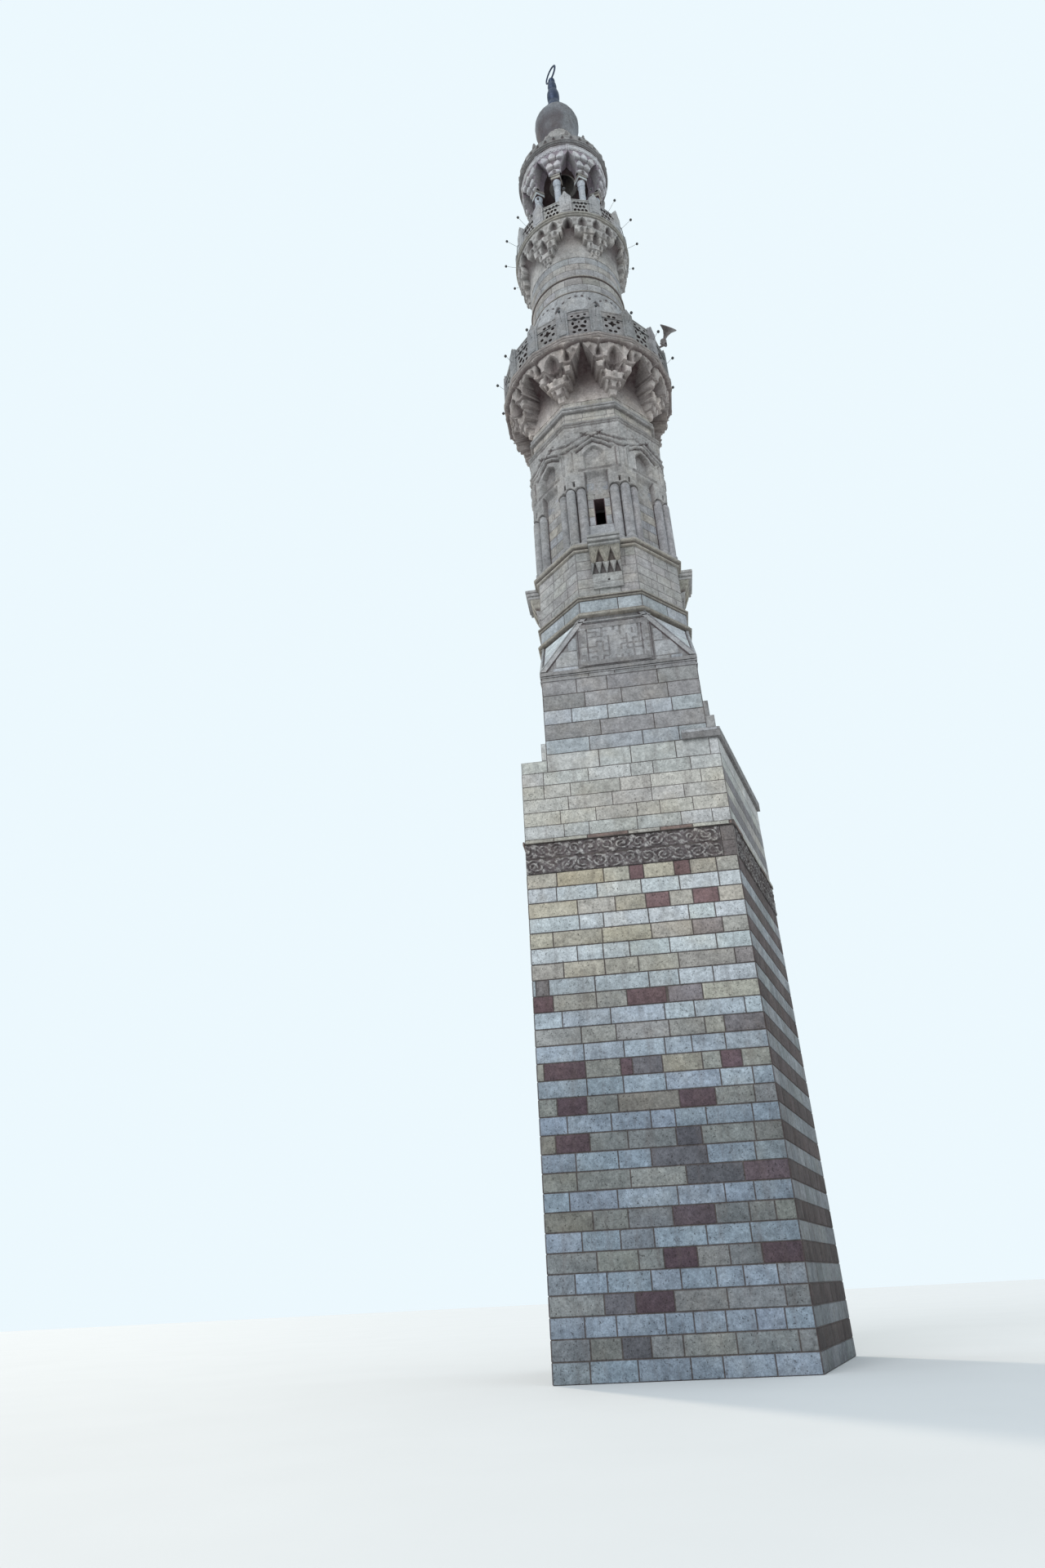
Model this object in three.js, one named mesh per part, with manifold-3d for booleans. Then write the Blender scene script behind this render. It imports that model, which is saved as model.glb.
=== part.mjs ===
// Stone minaret on its own corner pier, from the pavement to the crescent.
// Millimetres, +Z up, origin on the tower's axis at ground level, front face towards -Y.

import * as THREE from 'three';
import { mergeVertices } from 'three/addons/utils/BufferGeometryUtils.js';
import { ConvexGeometry } from 'three/addons/geometries/ConvexGeometry.js';
import Module from 'manifold-3d';

const wasm = await Module();
wasm.setup();

// Masonry
const COURSE = 290;
const TOUCH = 0.3;
const DEG = Math.PI / 180;
const SIDES = 8;

// Corner pier: its street wall runs back at a slant, and its inner faces are square to the tower
const PIER_LEFT = -2120;
const PIER_RIGHT = 1780;
const PIER_FRONT = -1600;
const PIER_BACK = 2000;
const STREET_SLANT = 15.5 * DEG;
const PIER_WALL = 900;
const STREET_WALL = 880;
const PIER_COURSES = 28;
const BAND_HEIGHT = 615;
const STRING_HEIGHT = 85;
const STRING_REACH = 45;
const UPPER_COURSES = 5;
const FLOOR_THICK = 250;
const HATCH = 700;
const YARD_DOOR_WIDTH = 900;
const YARD_DOOR_HEIGHT = 2100;

// Levels, each counted up from the one before
const BAND_LEVEL = COURSE * PIER_COURSES;
const STRING_LEVEL = BAND_LEVEL + BAND_HEIGHT;
const UPPER_LEVEL = STRING_LEVEL + STRING_HEIGHT;
const ROOF_LEVEL = UPPER_LEVEL + COURSE * UPPER_COURSES;
const SHAFT_HEIGHT = 2270;
const SHAFT_TOP = ROOF_LEVEL + SHAFT_HEIGHT;
const SHAFT_BAND_HEIGHT = 80;
const TRANSITION_LEVEL = SHAFT_TOP + SHAFT_BAND_HEIGHT;
const TRANSITION_HEIGHT = 1300;
const MOULDING_LEVEL = TRANSITION_LEVEL + TRANSITION_HEIGHT;
const MOULDING_HEIGHT = 560;
const LOWER_OCTAGON_LEVEL = MOULDING_LEVEL + MOULDING_HEIGHT;
const LOWER_OCTAGON_HEIGHT = 1270;
const LEDGE_LEVEL = LOWER_OCTAGON_LEVEL + LOWER_OCTAGON_HEIGHT;
const LEDGE_HEIGHT = 200;
const UPPER_OCTAGON_LEVEL = LEDGE_LEVEL + LEDGE_HEIGHT;
const UPPER_OCTAGON_FACE = 4750;
const CORBEL1_LEVEL = UPPER_OCTAGON_LEVEL + UPPER_OCTAGON_FACE;
const CORBEL1_HEIGHT = 1400;
const BALCONY1_LEVEL = CORBEL1_LEVEL + CORBEL1_HEIGHT;
const BALCONY_FLOOR = 200;
const DRUM_LEVEL = BALCONY1_LEVEL + BALCONY_FLOOR;
const DRUM_DOOR_HEIGHT = 1850;
const DRUM_FACE = 4450;
const CORBEL2_LEVEL = DRUM_LEVEL + DRUM_FACE;
const CORBEL2_HEIGHT = 1400;
const BALCONY2_LEVEL = CORBEL2_LEVEL + CORBEL2_HEIGHT;
const PAVILION_LEVEL = BALCONY2_LEVEL + BALCONY_FLOOR;
const PLINTH_HEIGHT = 250;
const COLUMN_HEIGHT = 2700;
const ARCADE_LEVEL = PAVILION_LEVEL + PLINTH_HEIGHT + COLUMN_HEIGHT;
const ARCADE_HEIGHT = 1030;
const CORNICE_LEVEL = ARCADE_LEVEL + ARCADE_HEIGHT;
const CORNICE_HEIGHT = 170;
const NECK_LEVEL = CORNICE_LEVEL + CORNICE_HEIGHT;
const NECK_HEIGHT = 2250;
const BULB_LEVEL = NECK_LEVEL + NECK_HEIGHT;
const BULB_CENTRE = 1100;
const BULB_HEIGHT = 1797;
const FINIAL_LEVEL = BULB_LEVEL + BULB_HEIGHT;
const FINIAL_HEIGHT = 2400;
const CRESCENT_LEVEL = FINIAL_LEVEL + FINIAL_HEIGHT;

// Square shaft
const SHAFT_HALF = 1600;
const SHAFT_WALL = 500;
const SHAFT_DOOR_WIDTH = 700;
const SHAFT_DOOR_HEIGHT = 1800;
const SHAFT_BAND_REACH = 30;

// Octagonal tiers: distances from the axis to the flats
const LOWER_FLAT = 1600;
const LOWER_BORE = 1000;
const UPPER_FLAT = 1500;
const UPPER_BORE = 1050;
const LEDGE_FLAT = 1720;
const SLIT_WIDTH = 240;
const SLIT_HEIGHT = 790;
const SLIT_SILL = 650;

// Round tiers
const DRUM_RADIUS = 1310;
const DRUM_BORE = 960;
const ROUND_STEPS = 32;
const BALCONY_SIDES = 16;
const BALCONY1_RADIUS = 2275;
const BALCONY2_RADIUS = 1700;
const PARAPET1_FLAT = 2180;
const PARAPET1_HEIGHT = 900;
const PARAPET1_THICK = 120;
const PARAPET2_FLAT = 1635;
const PARAPET2_HEIGHT = 660;
const PARAPET2_THICK = 100;
const BULB_RADIUS = 736;

// The open pavilion stands turned by half a side of its balcony
const HALF_SIDE = 180 / BALCONY_SIDES;

// Stone and metal colours
const STONE = { color: 0x8d8780, roughness: 0.95, metalness: 0 };
const PALE_STONE = { color: 0xb9b2a4, roughness: 0.92, metalness: 0 };
const BUFF_STONE = { color: 0xb8a684, roughness: 0.92, metalness: 0 };
const MARBLE = { color: 0xc9c3b8, roughness: 0.6, metalness: 0 };
const BRONZE = { color: 0x3c2f33, roughness: 0.5, metalness: 0.8 };
const LAMP_METAL = { color: 0x2d3136, roughness: 0.6, metalness: 0.4 };
const HORN_METAL = { color: 0x5b564f, roughness: 0.6, metalness: 0.5 };

const minaret = new THREE.Group();

function add(name, geometry, finish, level, turn = 0) {
  const mesh = new THREE.Mesh(geometry, new THREE.MeshStandardMaterial(finish));
  mesh.name = name;
  mesh.position.set(0, 0, level);
  mesh.rotation.z = turn * DEG;
  minaret.add(mesh);
}

// Solids and geometries
function solid(geometry) {
  const plain = geometry.clone();
  plain.deleteAttribute('normal');
  plain.deleteAttribute('uv');
  const merged = mergeVertices(plain, 0.001);
  const mesh = new wasm.Mesh({
    numProp: 3,
    vertProperties: new Float32Array(merged.attributes.position.array),
    triVerts: new Uint32Array(merged.index.array),
  });
  return new wasm.Manifold(mesh);
}

function geometryOf(manifold) {
  const mesh = manifold.getMesh();
  const geometry = new THREE.BufferGeometry();
  geometry.setAttribute('position', new THREE.BufferAttribute(new Float32Array(mesh.vertProperties), 3));
  geometry.setIndex(new THREE.BufferAttribute(new Uint32Array(mesh.triVerts), 1));
  return geometry;
}

function joined(solids) {
  return solids.reduce((all, next) => all.add(next));
}

// An upright prism on a plan outline of [x, y] points, with optional holes
function prism(outline, height, holes = [], bottom = 0) {
  const shape = new THREE.Shape(outline.map(([x, y]) => new THREE.Vector2(x, y)));
  for (const hole of holes) {
    shape.holes.push(new THREE.Path(hole.map(([x, y]) => new THREE.Vector2(x, y))));
  }
  const geometry = new THREE.ExtrudeGeometry(shape, { depth: height, bevelEnabled: false });
  return geometry.translate(0, 0, bottom);
}

// A regular polygon by its flats, with one flat facing the front
function polygon(sides, flat) {
  const radius = flat / Math.cos(Math.PI / sides);
  const points = [];
  for (let i = 0; i < sides; i += 1) {
    const angle = (2 * Math.PI * (i + 0.5)) / sides - Math.PI / 2;
    points.push([radius * Math.cos(angle), radius * Math.sin(angle)]);
  }
  return points;
}

// A round outline, as a polygon whose corners stand on the circle
function circle(radius) {
  return polygon(ROUND_STEPS, radius * Math.cos(Math.PI / ROUND_STEPS));
}

function rectangle(left, front, right, back) {
  return [[left, front], [right, front], [right, back], [left, back]];
}

function block(left, front, bottom, right, back, top) {
  const geometry = new THREE.BoxGeometry(right - left, back - front, top - bottom);
  return geometry.translate((left + right) / 2, (front + back) / 2, (bottom + top) / 2);
}

// A turned solid from [radius, height] points
function turned(profile, steps) {
  const points = profile.map(([radius, height]) => new THREE.Vector2(radius, height));
  const geometry = new THREE.LatheGeometry(points, steps);
  return geometry.rotateX(Math.PI / 2);
}

// A through-hole on a plan outline, a little longer than the piece it cuts
function borehole(outline, height) {
  return solid(prism(outline, height + 2, [], -1));
}

// A ring of stacked polygon courses: each course is [flat, bottom, top]
function courses(sides, stack, bore, height) {
  const layers = stack.map(([flat, bottom, top]) => {
    return solid(prism(polygon(sides, flat), top - bottom, [], bottom));
  });
  return joined(layers).subtract(borehole(bore, height));
}

// Copies about the axis: the angle is counted from the front, in degrees
function around(count, start, make) {
  const made = [];
  for (let i = 0; i < count; i += 1) {
    const angle = start + (360 * i) / count;
    made.push(make(i).rotate([0, 0, angle]));
  }
  return made;
}

// The pier under the tower
const ROOM_LEFT = PIER_LEFT + PIER_WALL;
const ROOM_RIGHT = PIER_RIGHT - STREET_WALL;
const ROOM_FRONT = PIER_FRONT + PIER_WALL;
const ROOM_BACK = PIER_BACK - PIER_WALL;
const ROOM = rectangle(ROOM_LEFT, ROOM_FRONT, ROOM_RIGHT, ROOM_BACK);
const HATCH_OUTLINE = rectangle(-HATCH / 2, -HATCH / 2, HATCH / 2, HATCH / 2);

function streetX(y) {
  return PIER_RIGHT + (y - PIER_FRONT) * Math.tan(STREET_SLANT);
}

function pierOutline(reach) {
  const slantReach = reach / Math.cos(STREET_SLANT);
  return [
    [PIER_LEFT, PIER_FRONT - reach],
    [streetX(PIER_FRONT - reach) + slantReach, PIER_FRONT - reach],
    [streetX(PIER_BACK) + slantReach, PIER_BACK],
    [PIER_LEFT, PIER_BACK],
  ];
}

function makePier() {
  add('ground_slab', prism(ROOM, FLOOR_THICK), BUFF_STONE, 0);
  const front = [
    [PIER_LEFT, PIER_FRONT],
    [streetX(PIER_FRONT), PIER_FRONT],
    [streetX(ROOM_FRONT), ROOM_FRONT],
    [PIER_LEFT, ROOM_FRONT],
  ];
  add('base_wall_front', prism(front, BAND_LEVEL), PALE_STONE, 0);
  const street = [
    [ROOM_RIGHT, ROOM_FRONT],
    [streetX(ROOM_FRONT), ROOM_FRONT],
    [streetX(ROOM_BACK), ROOM_BACK],
    [ROOM_RIGHT, ROOM_BACK],
  ];
  add('base_wall_right', prism(street, BAND_LEVEL), PALE_STONE, 0);
  const left = rectangle(PIER_LEFT, ROOM_FRONT, ROOM_LEFT, ROOM_BACK);
  add('base_wall_left', prism(left, BAND_LEVEL), PALE_STONE, 0);
  const doorLeft = (ROOM_LEFT + ROOM_RIGHT - YARD_DOOR_WIDTH) / 2;
  const doorRight = doorLeft + YARD_DOOR_WIDTH;
  const backLeft = rectangle(PIER_LEFT, ROOM_BACK, doorLeft, PIER_BACK);
  add('base_wall_back_left', prism(backLeft, BAND_LEVEL), PALE_STONE, 0);
  const backRight = [
    [doorRight, ROOM_BACK],
    [streetX(ROOM_BACK), ROOM_BACK],
    [streetX(PIER_BACK), PIER_BACK],
    [doorRight, PIER_BACK],
  ];
  add('base_wall_back_right', prism(backRight, BAND_LEVEL), PALE_STONE, 0);
  const overDoor = rectangle(doorLeft, ROOM_BACK, doorRight, PIER_BACK);
  const lintelBottom = FLOOR_THICK + YARD_DOOR_HEIGHT;
  add('base_wall_over_door', prism(overDoor, BAND_LEVEL - lintelBottom), PALE_STONE, lintelBottom);
  add('carved_band', prism(pierOutline(0), BAND_HEIGHT, [ROOM]), STONE, BAND_LEVEL);
  add('string_course', prism(pierOutline(STRING_REACH), STRING_HEIGHT, [ROOM]), BUFF_STONE, STRING_LEVEL);
  add('upper_base', prism(pierOutline(0), COURSE * UPPER_COURSES, [ROOM]), BUFF_STONE, UPPER_LEVEL);
  add('roof_floor', prism(ROOM, FLOOR_THICK, [HATCH_OUTLINE]), BUFF_STONE, ROOF_LEVEL - FLOOR_THICK);
}

// Stepped shoulders beside the square shaft, and the street parapet with its cornice
const SHOULDER_DEPTH = 620;
const LEFT_STEPS = [[-2120, 265], [-1700, 660]];
const RIGHT_STEPS = [[1780, 880], [1700, 1230]];
const STREET_PARAPET_HEIGHT = 370;
const STREET_PARAPET_THICK = 450;
const CORNICE_BAND = 200;
const CORNICE_REACH = 70;
const CORNICE_RETURN = 690;

// One step of a shoulder, from the shaft's side out to x
function shoulderStep(x, bottom, top) {
  const left = x < 0 ? x : SHAFT_HALF;
  const right = x < 0 ? -SHAFT_HALF : x;
  return solid(block(left, PIER_FRONT, bottom, right, PIER_FRONT + SHOULDER_DEPTH, top));
}

function makeShoulders() {
  const left = LEFT_STEPS.map(([x, top]) => shoulderStep(x, 0, top));
  add('left_shoulder', geometryOf(joined(left)), STONE, ROOF_LEVEL);
  const parapetTop = STREET_PARAPET_HEIGHT + CORNICE_BAND;
  const right = RIGHT_STEPS.map(([x, top]) => shoulderStep(x, parapetTop, top));
  add('right_shoulder', geometryOf(joined(right)), STONE, ROOF_LEVEL);
  const innerX = Math.max(SHAFT_HALF, streetX(PIER_BACK) - STREET_PARAPET_THICK);
  const bendY = PIER_FRONT + (SHAFT_HALF + STREET_PARAPET_THICK - PIER_RIGHT) / Math.tan(STREET_SLANT);
  const parapet = [
    [SHAFT_HALF, PIER_FRONT],
    [PIER_RIGHT, PIER_FRONT],
    [streetX(PIER_BACK), PIER_BACK],
    [innerX, PIER_BACK],
    [SHAFT_HALF, bendY],
  ];
  add('street_parapet', prism(parapet, STREET_PARAPET_HEIGHT), BUFF_STONE, ROOF_LEVEL);
  const reach = CORNICE_REACH;
  const slantReach = reach / Math.cos(STREET_SLANT);
  const returnEnd = PIER_RIGHT - CORNICE_RETURN;
  const cornice = [
    [returnEnd, PIER_FRONT - reach],
    [streetX(PIER_FRONT - reach) + slantReach, PIER_FRONT - reach],
    [streetX(PIER_BACK) + slantReach, PIER_BACK],
    [innerX, PIER_BACK],
    [SHAFT_HALF + TOUCH, bendY],
    [SHAFT_HALF + TOUCH, PIER_FRONT - TOUCH],
    [returnEnd, PIER_FRONT - TOUCH],
  ];
  add('corner_cornice', prism(cornice, CORNICE_BAND), STONE, ROOF_LEVEL + STREET_PARAPET_HEIGHT);
}

// Square shaft: four walls with a doorway to the roof at the back
function makeSquareShaft() {
  const out = SHAFT_HALF;
  const inner = SHAFT_HALF - SHAFT_WALL;
  const jamb = SHAFT_DOOR_WIDTH / 2;
  const wall = (name, left, front, right, back, bottom = 0) => {
    add(name, block(left, front, bottom, right, back, SHAFT_HEIGHT), STONE, ROOF_LEVEL);
  };
  wall('shaft_wall_front', -out, -out, out, -inner);
  wall('shaft_wall_left', -out, -inner, -inner, inner);
  wall('shaft_wall_right', inner, -inner, out, inner);
  wall('shaft_wall_back_left', -out, inner, -jamb, out);
  wall('shaft_wall_back_right', jamb, inner, out, out);
  wall('shaft_lintel', -jamb, inner, jamb, out, SHAFT_DOOR_HEIGHT);
  const band = SHAFT_HALF + SHAFT_BAND_REACH;
  const hole = rectangle(-inner, -inner, inner, inner);
  add('shaft_band', prism(rectangle(-band, -band, band, band), SHAFT_BAND_HEIGHT, [hole]), STONE, SHAFT_TOP);
}

// Transition: the square's corners are cut back by triangles to the octagon
const PANEL_HALF = 720;
const PANEL_HEIGHT = 1040;
const PANEL_SILL = 60;
const PANEL_FRAME = 110;
const PANEL_PROUD = 30;
const PANEL_ROOT = 50;
const FIELD_PROUD = 12;

function framedPanel() {
  const inner = PANEL_HALF - PANEL_FRAME;
  const top = PANEL_SILL + PANEL_HEIGHT;
  const back = -SHAFT_HALF + PANEL_ROOT;
  const face = -SHAFT_HALF - PANEL_PROUD;
  const field = -SHAFT_HALF - FIELD_PROUD;
  const plate = solid(block(-PANEL_HALF, face, PANEL_SILL, PANEL_HALF, back, top));
  const sunk = solid(block(-inner, face - 1, PANEL_SILL + PANEL_FRAME, inner, field, top - PANEL_FRAME));
  return plate.subtract(sunk);
}

function makeTransition() {
  const points = [];
  for (const [x, y] of rectangle(-SHAFT_HALF, -SHAFT_HALF, SHAFT_HALF, SHAFT_HALF)) {
    points.push(new THREE.Vector3(x, y, 0));
  }
  for (const [x, y] of polygon(SIDES, LOWER_FLAT)) {
    points.push(new THREE.Vector3(x, y, TRANSITION_HEIGHT));
  }
  const body = solid(new ConvexGeometry(points));
  const bore = borehole(polygon(SIDES, LOWER_BORE), TRANSITION_HEIGHT);
  const panels = around(4, 0, framedPanel);
  add('transition', geometryOf(joined([body, ...panels]).subtract(bore)), STONE, TRANSITION_LEVEL);
}

// Octagonal tiers. The upper one runs on behind the lower balcony's corbels.
const OCTAGON_BASE = [[1710, 0, 100], [1640, 100, 440], [1680, 440, MOULDING_HEIGHT]];
const LEDGE = [[1650, 0, 70], [LEDGE_FLAT, 70, LEDGE_HEIGHT]];
const FILLETS = [[1560, 3650, 3720], [1540, 3770, 3830], [1560, 4380, 4440], [1540, 4490, 4550]];

function makeOctagons() {
  const lowBore = polygon(SIDES, LOWER_BORE);
  const base = courses(SIDES, OCTAGON_BASE, lowBore, MOULDING_HEIGHT);
  add('octagon_base_moulding', geometryOf(base), PALE_STONE, MOULDING_LEVEL);
  const lower = prism(polygon(SIDES, LOWER_FLAT), LOWER_OCTAGON_HEIGHT, [lowBore]);
  add('lower_octagon', lower, STONE, LOWER_OCTAGON_LEVEL);
  const ledge = courses(SIDES, LEDGE, lowBore, LEDGE_HEIGHT);
  add('ledge_moulding', geometryOf(ledge), STONE, LEDGE_LEVEL);
  const height = UPPER_OCTAGON_FACE + CORBEL1_HEIGHT;
  const stack = [[UPPER_FLAT, 0, height], ...FILLETS];
  const shaft = courses(SIDES, stack, polygon(SIDES, UPPER_BORE), height);
  const slitTop = SLIT_SILL + SLIT_HEIGHT;
  const slit = solid(block(-SLIT_WIDTH / 2, -UPPER_FLAT - 100, SLIT_SILL, SLIT_WIDTH / 2, 0, slitTop));
  const slits = around(4, 0, () => slit);
  add('upper_octagon', geometryOf(shaft.subtract(joined(slits))), STONE, UPPER_OCTAGON_LEVEL);
}

// Balconettes: a slab on a tapering tail and three corbel tiers, on each of the four main faces
const TAIL_BOTTOM = -950;
const TAIL_TOP = -440;
const CORBEL_TIERS = [[480, 180, TAIL_TOP, -260], [600, 260, -260, -90], [700, 330, -90, 0]];
const SLAB_WIDTH = 720;
const SLAB_REACH = 370;
const SLAB_HEIGHT = 170;

function makeBalconettes() {
  const wall = -LOWER_FLAT - TOUCH;
  const tail = [];
  for (const [half, reach, z] of [[130, 40, TAIL_BOTTOM], [200, 120, TAIL_TOP]]) {
    for (const side of [-half, half]) {
      tail.push(new THREE.Vector3(side, wall, z), new THREE.Vector3(side, -LOWER_FLAT - reach, z));
    }
  }
  const tiers = CORBEL_TIERS.map(([width, reach, bottom, top]) => {
    return solid(block(-width / 2, -LOWER_FLAT - reach, bottom, width / 2, wall, top));
  });
  const slabHalf = SLAB_WIDTH / 2;
  const slabBack = -LEDGE_FLAT - TOUCH;
  const slab = solid(block(-slabHalf, -LOWER_FLAT - SLAB_REACH, 0, slabHalf, slabBack, SLAB_HEIGHT));
  const all = joined([solid(new ConvexGeometry(tail)), ...tiers, slab]);
  ['front', 'right', 'back', 'left'].forEach((side, i) => {
    add(`balconette_${side}`, geometryOf(all), STONE, LEDGE_LEVEL, 90 * i);
  });
}

// Triple ribs at the octagon's corners, on one plinth ring
const RIB_RADIUS = 92;
const RIB_FOOT = RIB_RADIUS + 8;
const RIB_CAP = RIB_RADIUS + 18;
const RIB_SPACING = 215;
const RIB_SET = 10;
const RIB_PLINTH = 100;
const RIB_TOP = 1780;
const PLINTH_REACH = 110;
const ARCADE_REACH = 120;

function makeColonnettes() {
  const plinth = solid(prism(polygon(SIDES, UPPER_FLAT + PLINTH_REACH), RIB_PLINTH));
  const profile = [
    [0, RIB_PLINTH],
    [RIB_FOOT, RIB_PLINTH],
    [RIB_FOOT, 210],
    [RIB_RADIUS, 250],
    [RIB_RADIUS, RIB_TOP - 190],
    [RIB_CAP, RIB_TOP - 110],
    [RIB_CAP, RIB_TOP],
    [0, RIB_TOP],
  ];
  const rib = solid(turned(profile, 8));
  const alongFace = UPPER_FLAT * Math.tan(Math.PI / SIDES) - RIB_SPACING;
  const pair = [-alongFace, alongFace].map((x) => rib.translate([x, -UPPER_FLAT - RIB_SET, 0]));
  const corner = rib.translate([0, -(UPPER_FLAT + RIB_SET) / Math.cos(Math.PI / SIDES), 0]);
  const faces = around(SIDES, 0, () => pair[0].add(pair[1]));
  const corners = around(SIDES, 180 / SIDES, () => corner);
  const core = borehole(polygon(SIDES, UPPER_FLAT + TOUCH), RIB_TOP);
  const ribs = joined([plinth, ...faces, ...corners]).subtract(core);
  add('colonnettes', geometryOf(ribs), STONE, UPPER_OCTAGON_LEVEL);
}

// Keel arch outline in a face's own plane, from the sill up to the springing and the point
function keelArch(half, sill, spring, apex) {
  const rise = apex - spring;
  return [
    [-half, sill],
    [half, sill],
    [half, spring],
    [half * 0.92, spring + rise * 0.35],
    [half * 0.6, spring + rise * 0.66],
    [half * 0.2, spring + rise * 0.84],
    [0, apex],
    [-half * 0.2, spring + rise * 0.84],
    [-half * 0.6, spring + rise * 0.66],
    [-half * 0.92, spring + rise * 0.35],
    [-half, spring],
  ];
}

// A prism on an upright outline of [x, z] points, running from near the axis out towards the front
function frontCutter(outline, near, far) {
  const cutter = prism(outline, far - near);
  return solid(cutter.rotateX(Math.PI / 2).translate(0, -near, 0));
}

const BLIND_ARCADE_HEIGHT = 1770;
const BLIND_ARCH_HALF = 250;
const BLIND_ARCH_SPRING = 820;
const BLIND_ARCH_APEX = 1220;

function makeBlindArcade() {
  const height = BLIND_ARCADE_HEIGHT;
  const core = polygon(SIDES, UPPER_FLAT + TOUCH);
  const ring = courses(SIDES, [[UPPER_FLAT + ARCADE_REACH, 0, height]], core, height);
  const outline = keelArch(BLIND_ARCH_HALF, -10, BLIND_ARCH_SPRING, BLIND_ARCH_APEX);
  const arch = frontCutter(outline, UPPER_FLAT - 100, UPPER_FLAT + 400);
  const arches = around(SIDES, 0, () => arch);
  add('blind_arcade', geometryOf(ring.subtract(joined(arches))), STONE, UPPER_OCTAGON_LEVEL + RIB_TOP);
}

// Balcony corbelling: clusters that widen tier by tier, joined by the top ring round the tower's core.
// Each tier is [half width, reach], and its lower part flares out from the tier below.
const FLARE = 0.45;

function cluster(tiers, tip, step) {
  return joined(tiers.map(([half, reach], i) => {
    const lower = i === 0 ? tip : tiers[i - 1];
    const rings = [
      [...lower, i * step],
      [half, reach, (i + FLARE) * step],
      [half, reach, (i + 1) * step],
    ];
    const points = [];
    for (const [w, r, z] of rings) {
      points.push(new THREE.Vector3(-w, -r, z), new THREE.Vector3(w, -r, z));
      points.push(new THREE.Vector3(-w, 0, z), new THREE.Vector3(w, 0, z));
    }
    return solid(new ConvexGeometry(points));
  }));
}

const CORBEL1_TOP = 260;
const CORBEL1_TIP = [90, 1690];
const CORBEL1_TIERS = [[150, 1760], [260, 1860], [370, 1970], [490, 2080], [600, 2160]];
const CORBEL2_CLUSTERS = 6;
const CORBEL2_TOP = 350;
const CORBEL2_TIP = [90, 1350];
const CORBEL2_TIERS = [[150, 1390], [330, 1450], [560, 1520], [700, 1590]];

function makeCorbels() {
  const one = cluster(CORBEL1_TIERS, CORBEL1_TIP, CORBEL1_HEIGHT / CORBEL1_TIERS.length);
  const top1 = solid(prism(polygon(BALCONY_SIDES, 2080), CORBEL1_TOP, [], CORBEL1_HEIGHT - CORBEL1_TOP));
  const clusters1 = around(SIDES, 180 / SIDES, () => one);
  const core1 = borehole(polygon(SIDES, UPPER_FLAT + TOUCH), CORBEL1_HEIGHT);
  const lower = joined([top1, ...clusters1]).subtract(core1);
  add('balcony1_muqarnas', geometryOf(lower), STONE, CORBEL1_LEVEL);
  const two = cluster(CORBEL2_TIERS, CORBEL2_TIP, CORBEL2_HEIGHT / CORBEL2_TIERS.length);
  const top2 = solid(prism(circle(1600), CORBEL2_TOP, [], CORBEL2_HEIGHT - CORBEL2_TOP));
  const clusters2 = around(CORBEL2_CLUSTERS, 180 / CORBEL2_CLUSTERS, () => two);
  const core2 = borehole(circle(DRUM_RADIUS + TOUCH), CORBEL2_HEIGHT);
  const upper = joined([top2, ...clusters2]).subtract(core2);
  add('balcony2_muqarnas', geometryOf(upper), STONE, CORBEL2_LEVEL);
}

// Balcony floors with a double rim: the lower one has sixteen sides, the upper one is round
const RIM_STEP = 90;

function makeBalconyFloors() {
  const bore = polygon(SIDES, DRUM_BORE);
  const flat1 = BALCONY1_RADIUS * Math.cos(Math.PI / BALCONY_SIDES);
  const rim1 = [[flat1 - 50, 0, RIM_STEP], [flat1, RIM_STEP, BALCONY_FLOOR]];
  const floor1 = courses(BALCONY_SIDES, rim1, bore, BALCONY_FLOOR);
  add('balcony1_floor', geometryOf(floor1), STONE, BALCONY1_LEVEL);
  const flat2 = BALCONY2_RADIUS * Math.cos(Math.PI / ROUND_STEPS);
  const rim2 = [[flat2 - 40, 0, RIM_STEP], [flat2, RIM_STEP, BALCONY_FLOOR]];
  const floor2 = courses(ROUND_STEPS, rim2, HATCH_OUTLINE, BALCONY_FLOOR);
  add('balcony2_floor', geometryOf(floor2), STONE, BALCONY2_LEVEL);
}

// Parapets: thin panels between posts, each post with a pointed top
const POST_PROUD = 10;
const POST_DEEP = 30;
const POST_SHOULDER = 50;

function parapet(flat, thick, height, postWidth, point) {
  const inside = polygon(BALCONY_SIDES, flat - thick);
  const ring = solid(prism(polygon(BALCONY_SIDES, flat), height, [inside]));
  const corner = flat / Math.cos(Math.PI / BALCONY_SIDES);
  const half = postWidth / 2;
  const outline = [
    [-half, 0],
    [half, 0],
    [half, height + POST_SHOULDER],
    [half * 0.4, height + point * 0.6],
    [0, height + point],
    [-half * 0.4, height + point * 0.6],
    [-half, height + POST_SHOULDER],
  ];
  const post = frontCutter(outline, corner - thick - POST_DEEP, corner + POST_PROUD);
  const posts = around(BALCONY_SIDES, HALF_SIDE, () => post);
  return geometryOf(joined([ring, ...posts]));
}

function makeParapets() {
  const lower = parapet(PARAPET1_FLAT, PARAPET1_THICK, PARAPET1_HEIGHT, 300, 230);
  add('balcony1_parapet', lower, STONE, DRUM_LEVEL);
  const upper = parapet(PARAPET2_FLAT, PARAPET2_THICK, PARAPET2_HEIGHT, 260, 330);
  add('balcony2_parapet', upper, STONE, PAVILION_LEVEL, HALF_SIDE);
}

// Round drum: segments up to the door head, then a full ring with two roll mouldings.
// The ring runs on behind the upper balcony's corbels.
const DOOR_HALF_ANGLE = 14;
const SEAM = (TOUCH / DRUM_BORE) / DEG;
const ROLLS = [1090, 1750];
const ROLL_HALF = 30;
const ROLL_REACH = 28;

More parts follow.
